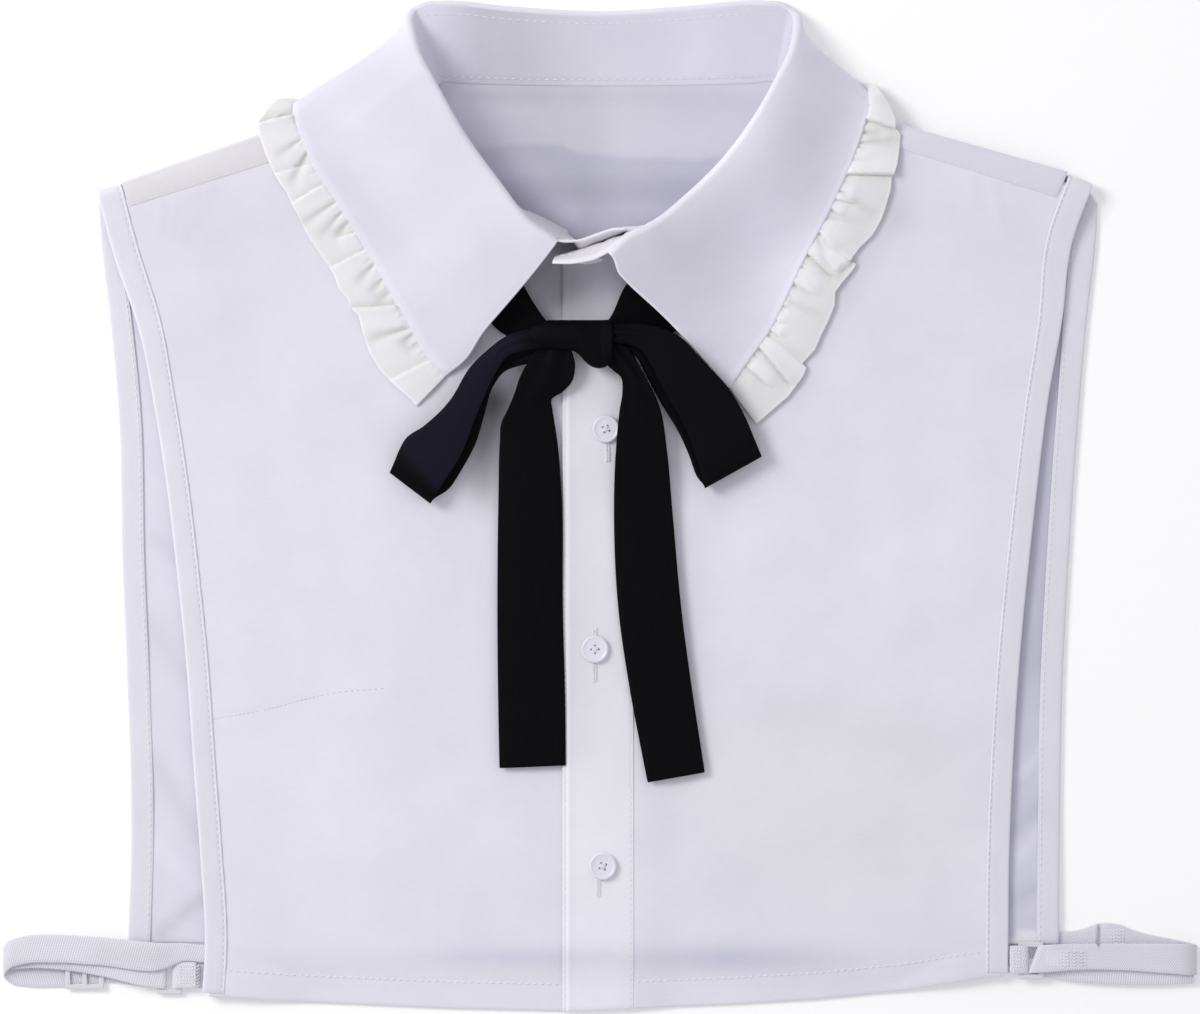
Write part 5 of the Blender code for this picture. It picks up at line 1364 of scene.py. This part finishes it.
# %% [markdown]
# ## Ribbon and bow
# One length of satin ribbon goes round the stand, under the fall, and comes out between the
# collar points. Its knot holds two flattened loops and two long tails. Every length of ribbon is a
# strip between two edges, and soft creases run out from the knot.

# %% Neck ribbon
RIBBON = 0.45
RIBBON_WIDTH_SHARE = (0.08, 0.92)
RIBBON_LEFT = (  # lower x, y, height, upper x, y, height
    (-20.0, 57.0, 4.2, -8.5, 62.5, 6.4),
    (-27.5, 60.2, 3.0, -14.0, 65.5, 5.4),
    (-35.5, 65.6, 2.0, -20.5, 71.0, 4.6),
    (-41.6, 71.2, 1.8, -29.1, 84.4, 6.0),
    (-47.0, 85.6, 1.8, -33.6, 98.0, 10.0),
    (-50.6, 100.0, 2.2, -39.0, 110.0, 15.0),
)
RIBBON_RIGHT = (
    (53.5, 104.0, 2.4, 40.5, 113.5, 15.5),
    (43.0, 85.5, 2.4, 26.0, 97.5, 10.0),
    (33.0, 70.5, 2.6, 10.4, 85.0, 6.5),
    (20.0, 62.5, 3.0, 3.6, 71.6, 4.8),
    (10.0, 56.5, 4.0, -3.0, 65.0, 5.8),
)


def raise_on_front(rows):
    """Both edges of a ribbon, given in plan with heights above the fronts."""
    table = np.asarray(rows, float)
    return np.column_stack([raised(table[:, 0:2], table[:, 2]), raised(table[:, 3:5], table[:, 5])])


def ribbon_between(first, last, across):
    """Shares across from 0 to 1, and the ribbon: point = (1 - share) times first + share times last."""
    share = np.linspace(0, 1, across)[:, None, None]
    return share[..., 0], (1 - share) * first + share * last


def neck_ribbon_grid(across=9):
    """Round the outside of the stand, then from each side down to the knot."""
    first = int(np.argmax(fold_line[:, 1] > 135.0))
    last = len(fold_line) - int(np.argmax(fold_line[::-1, 1] > 127.0))
    span = fold_line - seam_line
    twisting = smooth((fold_line[:, 1] - 130.0) / 20.0) * (1 - tucked)
    gap = 0.95 + 0.7 * twisting[:, None]
    edges = []
    for share in RIBBON_WIDTH_SHARE:
        line = seam_line + share * span
        away = unit(np.cross(span, np.gradient(line, axis=0)))
        edges.append((line + away * gap)[first:last:6])
    sections = [raise_on_front(RIBBON_LEFT), np.concatenate(edges, axis=1), raise_on_front(RIBBON_RIGHT)]
    table = finely(np.concatenate(sections), 2.5)
    return ribbon_between(table[:, 0:3], table[:, 3:6], across)[1]


neck_ribbon = neck_ribbon_grid()
ribbon_neck = sheet_of_cloth("ribbon_neck_satin", neck_ribbon, RIBBON, black_satin)

# %% Bow loops
LOOP_LEFT = (  # upper ply: outer x, y, inner x, y, height; lower ply: the same
    (-14.0, 68.0, -14.0, 60.0, 10.0, -14.0, 66.0, -14.0, 57.5, 7.4),
    (-24.0, 68.0, -23.0, 60.6, 10.2, -24.0, 65.0, -24.0, 55.5, 7.2),
    (-31.5, 66.4, -31.0, 59.2, 10.6, -32.0, 62.0, -31.0, 54.0, 6.6),
    (-36.0, 64.6, -35.0, 57.6, 10.7, -37.0, 60.0, -35.8, 52.2, 6.2),
    (-42.4, 59.8, -39.3, 52.0, 10.5, -44.0, 54.0, -40.8, 46.1, 5.4),
    (-49.2, 53.0, -43.2, 44.0, 10.0, -51.0, 45.0, -43.9, 36.1, 4.6),
    (-56.1, 41.5, -47.0, 35.0, 9.2, -58.0, 34.0, -47.3, 24.8, 3.9),
    (-66.6, 31.0, -53.6, 19.0, 7.8, -66.0, 26.0, -52.2, 15.5, 3.2),
    (-73.8, 25.8, -59.8, 9.4, 6.8, -71.0, 22.0, -57.0, 8.0, 2.8),
)
LOOP_LEFT_END = (-79.6, 13.4, -64.4, 1.9)
LOOP_RIGHT = (
    (-3.0, 68.6, -3.0, 61.0, 10.0, -3.0, 66.0, -3.0, 58.5, 7.4),
    (5.0, 69.2, 6.0, 62.6, 10.3, 5.0, 66.0, 6.0, 60.2, 7.3),
    (14.2, 69.6, 15.0, 60.6, 10.6, 14.0, 66.0, 13.2, 58.0, 6.9),
    (23.3, 67.9, 19.8, 53.8, 10.6, 24.0, 62.0, 17.4, 50.8, 6.2),
    (30.0, 64.8, 22.6, 48.6, 10.4, 31.0, 57.0, 20.2, 45.6, 5.6),
    (38.6, 56.0, 26.4, 41.4, 9.8, 38.0, 50.0, 23.6, 39.4, 5.0),
    (48.5, 45.3, 32.2, 31.0, 8.8, 46.0, 42.0, 29.6, 29.6, 4.2),
    (54.8, 34.6, 36.2, 21.0, 7.8, 52.0, 32.0, 34.0, 20.0, 3.6),
    (58.6, 25.6, 38.8, 12.6, 7.0, 56.0, 24.0, 37.0, 12.0, 3.2),
)
LOOP_RIGHT_END = (61.2, 19.4, 39.9, 7.6)


def loop_grid(rows, end, across=15):
    """Out along the upper ply, round the far end and back along the lower ply. Also gives where the
    painted sheen may lie: 1 along the upper ply, 0 along the lower one.
    """
    table = np.asarray(rows, float)

    def ply(part):
        """Outer and inner edge of one ply, at its height above the fronts."""
        return np.column_stack([raised(part[:, 0:2], part[:, 4]), raised(part[:, 2:4], part[:, 4])])

    upper, lower = ply(table[:, :5]), ply(table[:, 5:])
    tip_z = (table[-1, 4] + table[-1, 9]) / 2
    tip = raised(np.array(end, float).reshape(2, 2), tip_z).reshape(1, 6)
    back = 0.14 * (upper[-1] - tip[0])
    near = np.array([[0, 0, 1.1, 0, 0, 1.1]])
    sections = finely(np.concatenate([upper, tip + back + near, tip, tip + back - near, lower[::-1]]), 1.4)
    share, grid = ribbon_between(sections[:, 0:3], sections[:, 3:6], across)
    gathers = np.cos(2 * np.pi * 2.4 * share + 0.4)
    place = lengths_to(sections[:, 0:3])
    near_knot = np.exp(-((place / 20.0) ** 2)) + np.exp(-(((place[-1] - place) / 20.0) ** 2))
    grid[..., 2] += 0.6 * gathers * near_knot[None] + 0.5 * np.sin(np.pi * share)
    return grid, 1 - smooth((place / place[-1] - 0.44) / 0.04)[None] + 0 * share


left_loop, left_lit = loop_grid(LOOP_LEFT, LOOP_LEFT_END)
right_loop, right_lit = loop_grid(LOOP_RIGHT, LOOP_RIGHT_END)
# The left loop's upper ply carries the navy painted sheen, fading out towards the knot; the right loop's
# only a trace of it.
loop_left = sheet_of_cloth("bow_loop_left_satin", left_loop, RIBBON, black_satin,
                           tone=left_lit * smooth((-22.0 - left_loop[..., 0]) / 14.0))
loop_right = sheet_of_cloth("bow_loop_right_satin", right_loop, RIBBON, black_satin, tone=0.12 * right_lit)

# %% Bow tails
TAIL_LEFT = (  # left x, y, right x, y, height above the fronts
    (-23.0, 61.5, -11.0, 60.0, 8.0),
    (-27.8, 54.2, -9.6, 53.6, 7.3),
    (-30.1, 49.9, -10.6, 48.4, 6.4),
    (-32.4, 43.2, -14.4, 44.2, 5.0),
    (-34.7, 37.7, -18.6, 41.2, 3.9),
    (-37.0, 33.1, -18.2, 37.2, 3.2),
    (-37.8, 25.5, -16.6, 27.0, 2.8),
    (-38.4, 3.0, -14.7, 3.0, 2.6),
    (-38.8, -35.0, -14.4, -35.0, 2.6),
    (-38.5, -73.0, -13.4, -73.0, 2.6),
    (-38.0, -98.6, -13.2, -97.6, 2.5),
)
TAIL_RIGHT = (
    (-1.0, 58.0, 7.0, 62.4, 8.4),
    (4.2, 53.0, 11.9, 58.6, 8.3),
    (8.2, 49.4, 15.6, 52.4, 8.1),
    (8.7, 44.5, 18.8, 46.6, 7.9),
    (7.6, 37.0, 22.4, 38.4, 7.4),
    (6.2, 22.0, 25.2, 22.0, 6.4),
    (5.5, 3.0, 27.2, 0.0, 4.2),
    (7.6, -42.6, 31.2, -42.6, 3.4),
    (11.2, -67.0, 34.2, -65.0, 3.2),
    (18.2, -104.0, 39.6, -100.2, 3.1),
)


def tail_grid(rows, across=15):
    """A strip from the knot to the cut end, bowed a little across and creased near the knot."""
    table = finely(rows, 2.2)
    left = raised(table[:, 0:2], table[:, 4])
    share, grid = ribbon_between(left, raised(table[:, 2:4], table[:, 4]), across)
    near_knot = np.exp(-((lengths_to(left) / 22.0) ** 2))
    grid[..., 2] += 0.5 * np.sin(np.pi * share)
    grid[..., 2] += 0.4 * np.cos(2 * np.pi * 1.9 * share) * near_knot[None]
    return grid


left_tail, right_tail = tail_grid(TAIL_LEFT), tail_grid(TAIL_RIGHT)
tail_left = sheet_of_cloth("bow_tail_left_satin", left_tail, RIBBON, black_satin)
tail_right = sheet_of_cloth("bow_tail_right_satin", right_tail, RIBBON, black_satin)

# %% [markdown]
# ## Knot
# The knot is the ribbon wrapped once round the middle of the bow: a smooth flat band, narrow at
# one end, where the ribbon runs in, and wide at the other, where it turns down and under.

# %% Knot
KNOT_CENTRE = (-10.0, 63.0)
KNOT_HEIGHT = 8.4
KNOT_ENDS = (  # x, lower y, upper y, half height
    (-29.0, 64.2, 66.2, 1.0), (-27.0, 62.6, 68.2, 2.2), (-24.0, 61.4, 69.8, 3.2), (-20.5, 60.8, 70.8, 4.0),
    (-15.0, 60.2, 71.0, 4.6), (-10.5, 59.9, 71.0, 4.9), (-8.0, 58.4, 71.0, 5.0), (-5.5, 55.6, 71.0, 5.0),
    (-2.6, 53.6, 71.0, 5.0), (0.4, 53.2, 71.0, 5.0), (2.4, 53.9, 71.1, 4.9), (3.8, 56.2, 71.0, 4.5),
    (4.8, 59.6, 69.8, 3.6), (5.3, 63.0, 67.0, 2.0),
)


def knot_grid(around=72, along=60):
    """A closed wrap: angle a goes round the bow, and each section is a flattened oval, half its
    height times the cosine to the power 0.7 and half its width times the sine. It also gives two thin
    lines of painted highlight across the top of the wrap."""
    angle = np.linspace(0.0, 2 * np.pi, around)[None, :]
    table = through(KNOT_ENDS, np.linspace(0.0, 1.0, along), [0, 1, 2])
    x, low, high, half = (table[:, k : k + 1] for k in range(4))
    flat = np.sign(np.cos(angle)) * np.abs(np.cos(angle)) ** 0.7
    crease = -0.45 * np.exp(-(((x - 2.2 + 1.2 * np.sin(angle) ** 2) / 0.6) ** 2))
    slanting = np.exp(-(((x + 6.5 - 7.0 * np.sin(angle)) / 1.4) ** 2))
    crease = crease - 0.3 * slanting * smooth(-np.sin(angle) * 1.5)
    y = (low + high) / 2 + (high - low) / 2 * np.sin(angle)
    z = front_height(*KNOT_CENTRE) + KNOT_HEIGHT + (half + crease) * flat
    edge = np.exp(-(((x - 1.2) / 0.5) ** 2)) + np.exp(-(((x - 3.7) / 0.5) ** 2))
    return np.stack([x + 0 * angle, y, z], axis=-1), 0.5 * edge * smooth(np.cos(angle) * 3.0)


knot, knot_lit = knot_grid()
bow_knot = sheet_of_cloth("bow_knot_satin", knot, RIBBON, black_satin, tone=knot_lit)

# %% [markdown]
# ## Buttons
# Shirt buttons are turned discs with a raised rim, a dished face and four holes. The disc is a
# profile turned round its axis; the holes are cut by a Boolean; thread crosses between them.

# %% Buttons
BUTTON_DIAMETER = 10.5
BUTTON_THICKNESS = 1.7
HOLE_OFFSET, HOLE_RADIUS = 0.95, 0.45
THREAD_LEVEL = 0.82  # of the thickness: where the thread lies on the dished face
BUTTONS = (("button_top", 2.3, 30.0), ("button_middle", -1.9, -53.6), ("button_bottom", 1.1, -136.0))
BUTTON_PROFILE = (  # radius and height as shares of half the diameter and of the thickness
    (0.0, 0.12), (0.3, 0.1), (0.62, 0.0), (0.8, 0.02), (0.93, 0.14), (1.0, 0.36), (1.0, 0.52),
    (0.975, 0.78), (0.93, 0.94), (0.88, 1.0), (0.83, 0.97), (0.77, 0.86), (0.7, 0.8), (0.4, 0.78),
    (0.2, 0.78), (0.0, 0.78),
)


def turned_disc(name, centre, profile, axes, steps, finish):
    """A profile of (radius, height) turned round the axis: point = centre + radius times the ring
    direction + height times the axis."""
    right, forward, axis = axes
    radius, height = np.asarray(profile, float)[1:-1].T
    angle = np.linspace(0.0, 2 * np.pi, steps, endpoint=False)
    ring = np.cos(angle)[:, None] * right + np.sin(angle)[:, None] * forward
    body = radius[:, None, None] * ring[None] + height[:, None, None] * axis
    poles = np.array([profile[0][1], profile[-1][1]])[:, None] * axis
    points = np.concatenate([body.reshape(-1, 3), poles]) + centre
    index = np.arange(len(radius) * steps).reshape(len(radius), steps)
    after = np.roll(index, -1, axis=1)
    walls = np.stack([index[:-1], after[:-1], after[1:], index[1:]], axis=-1).reshape(-1, 4)
    low, high = len(points) - 2, len(points) - 1
    floor_fan = np.stack([after[0], index[0], np.full(steps, low)], axis=1)
    lid_fan = np.stack([index[-1], after[-1], np.full(steps, high)], axis=1)
    return put_mesh(name, points, [walls, floor_fan, lid_fan], finish)


def sew_button(name, centre, axes, turn=0.3):
    """The disc with four holes, and two crossing pairs of thread bars on its face."""
    right, forward, axis = axes
    half = BUTTON_DIAMETER / 2
    profile = [(r * half, h * BUTTON_THICKNESS) for r, h in BUTTON_PROFILE]
    disc = turned_disc(name + "_disc", centre, profile, axes, 56, button_plastic)
    spot = np.array([(1, 1), (-1, 1), (-1, -1), (1, -1)]) * HOLE_OFFSET
    mix = np.array([[np.cos(turn), np.sin(turn)], [-np.sin(turn), np.cos(turn)]])
    holes = [centre + right * a + forward * b for a, b in spot @ mix]
    pin_profile = [(0.0, -1.0), (HOLE_RADIUS, -1.0), (HOLE_RADIUS, 4.0), (0.0, 4.0)]
    for hole in holes:
        pin = turned_disc("pin", hole, pin_profile, axes, 20, button_plastic)
        cut = disc.modifiers.new("hole", "BOOLEAN")
        cut.operation, cut.object = "DIFFERENCE", pin
        bpy.context.view_layer.objects.active = disc
        bpy.ops.object.modifier_apply(modifier=cut.name)
        bpy.data.objects.remove(pin)
    disc.data.set_sharp_from_angle(angle=0.9)
    face = THREAD_LEVEL * BUTTON_THICKNESS * axis
    pairs = np.array([(holes[0], holes[2]), (holes[1], holes[3])])
    middle = pairs.mean(axis=1)
    run = unit(pairs[:, 1] - pairs[:, 0])
    beside = np.cross(run, axis)
    centres = np.concatenate([middle + beside * k for k in (-0.2, 0.2)]) + face
    runs = np.concatenate([run, run])
    thread_bars(name + "_thread", centres, runs, axis, 2.9, 0.36, white_thread, lift=0.5)
    return disc


def buttonhole(name, x, low, high, pitch=0.55):
    """Two columns of short bars side by side, slanted a little, down both sides of a slit."""
    y = np.arange(low, high, pitch)
    y = np.concatenate([y, y + pitch / 2])
    slit = np.repeat([-0.45, 0.45], len(y) // 2)
    plan = np.stack([x + slit + 0.12 * np.sin(3.1 * y), y], axis=1)
    centre = on_front(plan, PLACKET_RISE + 0.4)
    along = np.stack([np.ones(len(y)), 0.6 * np.sin(5.3 * y), np.zeros(len(y))], axis=1)
    thread_bars(name, centre, along, UPWARDS, 1.3, 0.4, white_thread)


BUTTONHOLES = (  # x, lower and upper end
    ("buttonhole_top", 3.0, 17.6, 26.0), ("buttonhole_middle", -2.0, -66.0, -45.8),
    ("buttonhole_bottom", -0.6, -147.6, -141.0),
)
buttons = {}
for number, (name, x, y) in enumerate(BUTTONS):
    centre = np.array([x, y, float(front_height(x, y)) + PLACKET_RISE + 0.55])
    buttons[name] = sew_button(name, centre, np.eye(3), turn=0.3 + 0.5 * number)
for name, x, low, high in BUTTONHOLES:
    buttonhole(name, x, low, high)
face_out = unit(np.array([0.12, -1.0, 0.15]))
stand_right = unit(np.cross(UPWARDS, face_out))
stand_axes = (stand_right, np.cross(face_out, stand_right), face_out)
buttons["button_stand"] = sew_button("button_stand", np.array([-3.9, 94.8, 19.0]), stand_axes)
print("buttons:", len(buttons))

# %% [markdown]
# ## Elastic straps
# Each strap is a run of ribbed elastic that goes out, turns and comes back through a ring. It is a
# level strip whose middle line is a curve through a few points.

# %% Straps and tabs
STRAP_LEFT = (  # x, y, half width, z
    (-144.0, -169.4, 3.0, 1.8), (-152.5, -169.4, 3.0, 1.9), (-158.0, -168.8, 3.1, 3.2),
    (-165.5, -170.2, 4.6, 4.3), (-190.0, -168.4, 5.0, 4.3), (-207.0, -167.4, 5.0, 4.3),
    (-219.0, -168.0, 5.0, 4.2), (-225.0, -170.2, 5.0, 3.6), (-226.6, -172.6, 5.0, 2.4),
    (-225.0, -175.0, 5.0, 1.2), (-219.0, -176.6, 5.0, 0.5), (-205.0, -176.8, 5.0, 0.5),
    (-187.0, -175.2, 5.0, 0.5), (-168.5, -177.4, 5.0, 0.5), (-165.4, -177.4, 5.0, 1.0),
    (-164.9, -177.4, 5.0, 1.7), (-165.4, -177.4, 5.0, 2.4), (-168.5, -177.4, 4.8, 2.9),
    (-190.0, -173.2, 4.4, 2.9), (-205.0, -171.0, 4.2, 2.8), (-216.0, -170.6, 4.0, 2.7),
    (-224.0, -171.6, 3.6, 2.5),
)
STRAP_RIGHT = (
    (148.5, -165.9, 3.6, 0.5), (160.0, -165.9, 4.6, 0.5), (184.0, -165.4, 5.0, 0.5),
    (189.0, -163.6, 5.0, 0.6), (193.0, -163.2, 5.0, 0.8), (197.5, -163.8, 5.0, 0.6),
    (203.0, -165.9, 5.0, 0.5), (219.0, -169.6, 5.0, 0.5), (225.2, -171.2, 5.2, 1.0),
    (226.7, -171.8, 5.4, 2.0), (225.2, -171.7, 5.6, 3.1), (219.0, -171.4, 5.4, 3.6),
    (198.0, -170.6, 4.7, 3.7), (180.0, -170.6, 4.6, 4.2), (168.5, -171.2, 5.0, 4.5),
    (165.4, -171.4, 5.0, 4.0), (164.9, -171.6, 5.0, 3.2), (165.4, -172.2, 5.0, 2.4),
    (168.5, -172.8, 5.0, 1.9), (180.0, -174.6, 5.0, 1.9), (203.0, -176.0, 5.0, 1.9),
    (216.0, -175.8, 5.0, 2.0), (225.6, -175.4, 5.0, 2.1),
)
TAB_LEFT = (
    (-146.0, -177.6, 4.7, 0.5), (-158.5, -177.6, 4.7, 0.5), (-162.0, -177.6, 4.7, 1.0),
    (-162.6, -177.6, 4.7, 1.7), (-162.0, -177.6, 4.7, 2.4), (-158.5, -177.6, 4.7, 2.9),
    (-153.8, -177.6, 4.7, 2.9),
)
TAB_RIGHT = (
    (149.5, -171.6, 4.9, 1.8), (158.5, -171.6, 4.9, 1.9), (162.0, -171.6, 4.9, 2.4),
    (162.6, -171.6, 4.9, 3.2), (162.0, -171.6, 4.9, 4.0), (159.0, -171.6, 4.9, 4.5),
    (156.0, -171.6, 4.9, 4.5),
)


def elastic_tape(name, rows, lean=(0.0, 0.0), shades=(), across=9, wall=0.75):
    """Level sections: middle line plus and minus the half width. Near x = lean[1] the sections slant,
    so that the tape's upper edge is lean[0] further along than its middle. `shades` paints light and
    shade on it."""
    table = finely(rows, 0.8, [0, 1, 3])
    table[:, 3] = np.maximum(table[:, 3], wall / 2)
    share = np.linspace(-1, 1, across)[:, None]
    y = table[:, 1] + share * table[:, 2]
    x = table[:, 0] + share * lean[0] * np.exp(-(((table[:, 0] - lean[1]) / 7.0) ** 2))
    grid = np.stack([x, y, np.broadcast_to(table[:, 3], y.shape)], axis=-1)
    return sheet_of_cloth(name, grid, wall, elastic_finish, tone=folds_at(x, y, shades))


ELASTIC_SHADES = (  # x, y, x, y, half width, painted light: soft painted shade and light, and a painted shadow in the slit where two lengths join
    (-196.0, -178.0, -222.0, -174.5, 4.0, -0.12), (-166.0, -171.0, -188.0, -171.0, 5.0, -0.08),
    (189.6, -158.8, 189.4, -166.4, 0.45, -0.8), (224.0, -166.0, 224.0, -178.0, 4.0, -0.12),
    (-150.0, -168.0, -158.0, -168.0, 4.0, 0.06), (172.0, -171.0, 184.0, -171.0, 3.0, 0.06),
)
strap_left = elastic_tape("strap_left_elastic", STRAP_LEFT, shades=ELASTIC_SHADES)
strap_right = elastic_tape("strap_right_elastic", STRAP_RIGHT, (1.9, 165.5), ELASTIC_SHADES)
tab_left = elastic_tape("strap_tab_left_elastic", TAB_LEFT)
tab_right = elastic_tape("strap_tab_right_elastic", TAB_RIGHT)

# %% Rings and slider
RING_BAR = 1.2


def moulded_frame(name, centre, half, bars, wall=0.9):
    """A flat frame: a grid of bars with windows left open, and a rounded rim on every edge."""
    x, y, z = centre
    bar = RING_BAR * np.array([0.0, 0.5, 1.0])
    uprights = np.linspace(x - half[0], x + half[0] - RING_BAR, bars)
    xs = (uprights[:, None] + bar).ravel()
    ys = np.concatenate([y - half[1] + bar, y + half[1] - bar[::-1]])
    grid = np.stack([*np.meshgrid(xs, ys, indexing="ij"), np.full((len(xs), len(ys)), z)], axis=-1)
    keep = np.ones((len(xs) - 1, len(ys) - 1), bool)
    keep[2::3, 2] = False
    return sheet_of_cloth(name, grid, wall, ring_plastic, keep, rim=6)


ring_left = moulded_frame("ring_left_plastic", (-163.8, -177.8, 1.7), (4.4, 6.7), 2)
ring_right = moulded_frame("ring_right_plastic", (163.8, -172.0, 3.2), (4.4, 6.7), 2)
slider_left = moulded_frame("slider_left_plastic", (-196.0, -177.0, 1.7), (7.0, 5.6), 3)

# %% Zigzag stitches that hold the elastic's ends
def zigzag(name, left, right, low, high, z, pitch=1.1):
    """Short bars in rows and columns, each column slanting the other way than the last."""
    x, y = np.meshgrid(np.arange(left, right, pitch), np.arange(low, high, 1.25), indexing="ij")
    way = np.where(np.arange(len(x)) % 2 == 0, 1.0, -1.0)[:, None] + 0 * y
    centre = np.stack([x, y, np.full_like(x, z)], axis=-1).reshape(-1, 3)
    along = np.stack([np.ones_like(x), 0.9 * way, 0 * x], axis=-1).reshape(-1, 3)
    thread_bars(name, centre, along, UPWARDS, 1.6, 0.42, white_thread)


zigzag("strap_tab_left_zigzag", -159.4, -152.0, -181.6, -173.6, 3.3)
zigzag("strap_right_zigzag", 191.4, 199.2, -168.4, -160.6, 1.0)
zigzag("strap_tab_right_zigzag", 157.2, 160.4, -175.4, -167.4, 4.9)
zigzag("strap_right_box_stitches", 170.0, 184.5, -173.6, -168.2, 4.8, pitch=1.3)

# %% [markdown]
# ## Seams
# Now the stitches go on: along the inner edge of both bindings, the hem, the placket, the forward
# shoulder seams and the collar.

# %% Stitch the bindings
for side, grid in (("left", left_binding_grid), ("right", right_binding_grid)):
    path = grid[BINDING_STITCHES]
    across = grid[BINDING_STITCHES + 1] - grid[BINDING_STITCHES - 1]
    normal = unit(np.cross(np.gradient(path, axis=0), across))
    normal = normal if normal[5, 2] > 0 else -normal
    seam(f"armhole_binding_{side}_stitches", path + 0.14 * normal, normal, pitch=2.5, fill=0.66, thick=0.44)
    low_path = grid[-2, -BACK_BINDING_SHOWN:] + 0.1 * UPWARDS
    seam(f"armhole_binding_{side}_low_stitches", low_path, UPWARDS, pitch=2.6, fill=0.62, thick=0.46)

# %% Stitch the hem and the forward shoulder seams
def hem_path(first, last, lift):
    """A line a little inside the hem's step, on top of the fronts."""
    x = np.linspace(first, last, 120)
    y = hem_y(x) + HEM_STITCHED
    z = front_skin(x, y) + hem_step(x, y) + lift(x) + PANEL_WALL / 2
    return np.stack([x, y, z], axis=1)


DART_LEFT = ((-147.0, -80.3), (-129.2, -77.1), (-101.0, -70.3), (-80.0, -68.4))
DART_TURN = 76  # station at which the stitches draw further apart
HEM_RUNS = (("left", -142.0, -13.8, np.zeros_like), ("right", 13.2, 146.5, beside_placket))
for side, first, last, lift in HEM_RUNS:
    seam(f"hem_{side}_stitches", hem_path(first, last, lift), UPWARDS, pitch=2.7, fill=0.64, thick=0.5)
dart = on_front(through(DART_LEFT, np.linspace(0.0, 1.0, 120)), PANEL_WALL / 2 - 0.06)
# The left dart's stitches are in the dark grey thread, a painted shadow line along its fold.
for part, pitch, fill, run in (("seam", 1.6, 0.95, dart[:DART_TURN]), ("end", 2.3, 0.5, dart[DART_TURN:])):
    seam(f"dart_left_{part}_stitches", run, UPWARDS, pitch, fill, 0.3, finish=dart_shadow_thread)
for side, flap in zip(("left", "right"), back_flaps):
    path, up = line_on(flap, 0.93, PANEL_WALL / 2, station=0)
    seam(f"shoulder_seam_{side}_stitches", path, up, pitch=2.4, fill=0.74, thick=0.26)

# %% Stitch the placket
for side, row, level in PLACKET_STITCHES:
    path = placket_grid[row] + 0.4 * UPWARDS
    high = (path[:, 1] > level) & (path[:, 1] < PLACKET_STITCHES_END)
    for part, thick, run in (("low", 0.42, path[path[:, 1] < level]), ("high", 0.2, path[high])):
        seam(f"placket_{side}_{part}_stitches", run, UPWARDS, pitch=2.4, fill=0.66, thick=thick)

# %% Stitch the collar
STAND_STITCH_ROWS = (("seam", 3), ("fold", 13))
for name, row in STAND_STITCH_ROWS:
    path, up = line_on(stand, row / (len(stand) - 1), COLLAR_WALL / 2, station=stand.shape[1] // 2)
    seam(f"collar_stand_{name}_stitches", path, up, pitch=3.2, fill=0.6, thick=0.36)

# %% [markdown]
# ## Each piece in place of its solid
# Every piece rides on the garment's one body and takes the place of its solid.

# %% Ride and replace
ON_FLOOR, ON_BACK, ON_LEFT = ["floor"], ["back_panel_cloth"], ["front_left_cloth"]
ON_FRONTS = ["front_left_cloth", "front_right_cloth"]
dressed = {  # node: piece, material slot, and for cloth how it is held and what carries it
    "back_panel": (back_panel, "white_shirting", "laid", ON_FLOOR),
    "front_left": (front_left, "white_shirting", "laid", ON_BACK),
    "front_right": (front_right, "white_shirting", "laid", ON_BACK),
    "placket": (placket, "white_shirting", "laid", ON_LEFT),
    "armhole_binding_left": (binding_left, "white_shirting", "folded", ON_FLOOR),
    "armhole_binding_right": (binding_right, "white_shirting", "folded", ON_FLOOR),
    "collar_stand": (collar_stand, "white_shirting", "folded", ON_BACK),
    "collar_fall": (collar_fall, "white_shirting", "folded", ON_FRONTS),
    "collar_ruffle": (collar_frill, "ruffle_cloth", "gathered", ON_FRONTS),
    "ribbon_neck": (ribbon_neck, "black_ribbon", "folded", ON_FRONTS),
    "bow_loop_left": (loop_left, "black_ribbon", "folded", ON_LEFT),
    "bow_loop_right": (loop_right, "black_ribbon", "folded", ["front_right_cloth"]),
    "bow_knot": (bow_knot, "black_ribbon", "folded", ["bow_loop_left_satin"]),
    "bow_tail_left": (tail_left, "black_ribbon", "laid", ON_LEFT),
    "bow_tail_right": (tail_right, "black_ribbon", "laid", ["placket_cloth"]),
    "button_top": (buttons["button_top"], "clear_plastic", None, None),
    "button_middle": (buttons["button_middle"], "clear_plastic", None, None),
    "button_bottom": (buttons["button_bottom"], "clear_plastic", None, None),
    "button_stand": (buttons["button_stand"], "clear_plastic", None, None),
    "strap_left": (strap_left, "elastic", "folded", ON_FLOOR),
    "strap_right": (strap_right, "elastic", "folded", ON_FLOOR),
    "strap_tab_left": (tab_left, "elastic", "folded", ON_FLOOR),
    "strap_tab_right": (tab_right, "elastic", "folded", ON_FLOOR),
    "ring_left": (ring_left, "clear_plastic", None, None),
    "ring_right": (ring_right, "clear_plastic", None, None),
    "slider_left": (slider_left, "clear_plastic", None, None),
}
for node, (piece, finish_slot, _, _) in dressed.items():
    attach(piece, "root")
    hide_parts(node)
for piece in stitch_pieces:
    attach(piece, "root")
print("pieces:", len(dressed) + len(stitch_pieces))

# %% Count the sheets of cloth
print("sheets of cloth:", sum(bool(row[2]) for row in dressed.values()))

# %% Size of the dressed garment, and the end
low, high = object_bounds()
print("dressed box", [round(float(v), 4) for v in low + high])
